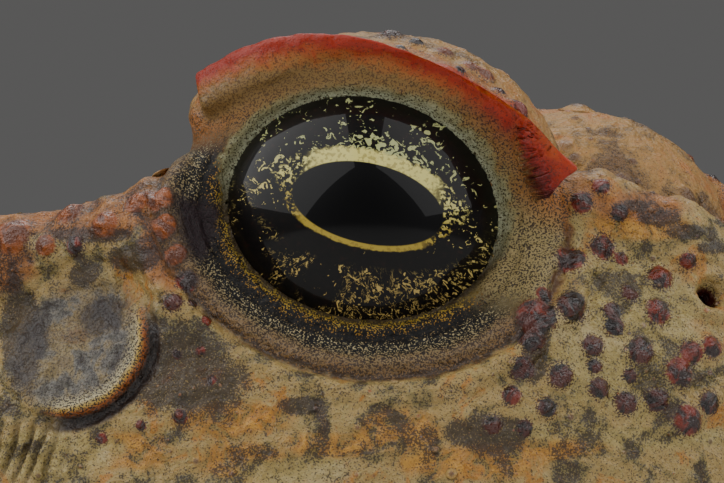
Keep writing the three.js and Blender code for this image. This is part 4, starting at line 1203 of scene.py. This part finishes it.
iris = mix(ring_mask, iris, mix(times(stepped(broken, 0.5, 0.62), 0.5), ring_colour, (120, 100, 44)))
iris = mix(stepped(pupil_share, 1.02, 0.99), iris, (3, 3, 4))
filled(tree.nodes["Principled BSDF"], {
    "Base Color": iris, "Roughness": 0.45, "Specular IOR Level": 0.1, "Coat Weight": 1.0,
    "Coat Roughness": 0.02, "Coat IOR": 1.24,
})

cos_tilt, sin_tilt = math.cos(PUPIL_TILT), math.sin(PUPIL_TILT)
polar = math.pi * np.arange(1, EYE_RINGS).repeat(EYE_TURNS)[:, None] / EYE_RINGS
turn = 2 * math.pi * np.tile(np.arange(EYE_TURNS), EYE_RINGS - 1)[:, None] / EYE_TURNS
for name, side in (("left", 1), ("right", -1)):
    axis = np.array((math.sin(EYE_FORWARD), side * math.cos(EYE_FORWARD), 0))
    forward = np.array((math.cos(EYE_FORWARD), -side * math.sin(EYE_FORWARD), 0))
    sideways = forward * np.cos(turn) + np.array((0, 0, 1.0)) * np.sin(turn)
    out = axis * np.cos(polar) + sideways * np.sin(polar)
    rel = EYE_RADIUS * np.vstack((axis, out, -axis))
    last = len(rel) - 1
    faces = []
    for j in range(EYE_TURNS):
        k = (j + 1) % EYE_TURNS
        faces.append((0, 1 + j, 1 + k))
        for a in range(1, last - EYE_TURNS, EYE_TURNS):
            faces.append((a + j, a + EYE_TURNS + j, a + EYE_TURNS + k, a + k))
        faces.append((last, last - EYE_TURNS + k, last - EYE_TURNS + j))
    eye = mesh_object(f"eyeball_{name}", rel + EYE_CENTRE * (1, side, 1), [face[::side] for face in faces])
    gaze_across = rel @ forward - PUPIL_OFFSET[0]
    gaze_up = rel[:, 2] - PUPIL_OFFSET[1]
    opening = eye_plane(rel * (1, side, 1) + EYE_CENTRE)
    mark(eye, "gaze", np.column_stack((
        gaze_across * cos_tilt - gaze_up * sin_tilt,
        gaze_across * sin_tilt + gaze_up * cos_tilt,
        eye_share(opening[0], opening[1]),
    )))
    eye.data.materials.append(eye_look)
    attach(eye, "root")
    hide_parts(f"eye_{name}")


# Floor and light
# A pale studio floor, and two large soft boxes over the camera, whose reflections fill the upper
# part of the cornea with a dark gap between them. A third, behind, lights the far side.
FLOOR_REACH, FLOOR_LEVEL = 900, -0.02
floor_corners = [
    (x * FLOOR_REACH, y * FLOOR_REACH, FLOOR_LEVEL) for x, y in ((-1, -1), (1, -1), (1, 1), (-1, 1))
]
floor = mesh_object("floor", floor_corners, [(0, 1, 2, 3)])
floor_look = bpy.data.materials.new("pale floor")
floor_look.use_nodes = True
filled(floor_look.node_tree.nodes["Principled BSDF"], {"Base Color": (0.72, 0.72, 0.7, 1), "Roughness": 0.7})
floor.data.materials.append(floor_look)

world = bpy.data.worlds.new("studio")
world.use_nodes = True
filled(world.node_tree.nodes["Background"], {"Color": (0.86, 0.85, 0.84, 1), "Strength": 0.12})
bpy.context.scene.world = world
# Lean to the left in degrees, distance, length along the camera's line, width, how far it is
# shifted to the camera, all in millimetres, and radiance.
for name, lean, away, long, wide, shift, radiance in (
    ("soft box left", 45, 300, 500, 420, 100, 1.9),
    ("soft box right", -45, 300, 500, 420, 100, 1.6),
    ("soft box behind", 0, 420, 320, 320, -400, 2.0),
):
    lamp = bpy.data.lights.new(name, "AREA")
    lamp.shape = "RECTANGLE"
    lamp.size, lamp.size_y = wide * MM, long * MM
    lamp.energy = radiance * math.pi * lamp.size * lamp.size_y
    outward = view_up * math.cos(math.radians(lean)) - view_right * math.sin(math.radians(lean))
    spot = cornea + away * outward + shift * view_back
    facing_down = outward if shift > 0 else (spot - cornea) / np.linalg.norm(spot - cornea)
    along = view_back if shift > 0 else np.cross(facing_down, view_right)
    holder = bpy.data.objects.new(name, lamp)
    holder.location = (spot + to_frame) * MM
    axes = Matrix([np.cross(along, facing_down), along, facing_down])
    holder.rotation_euler = axes.transposed().to_euler()
    holder.visible_camera = False
    bpy.context.scene.collection.objects.link(holder)
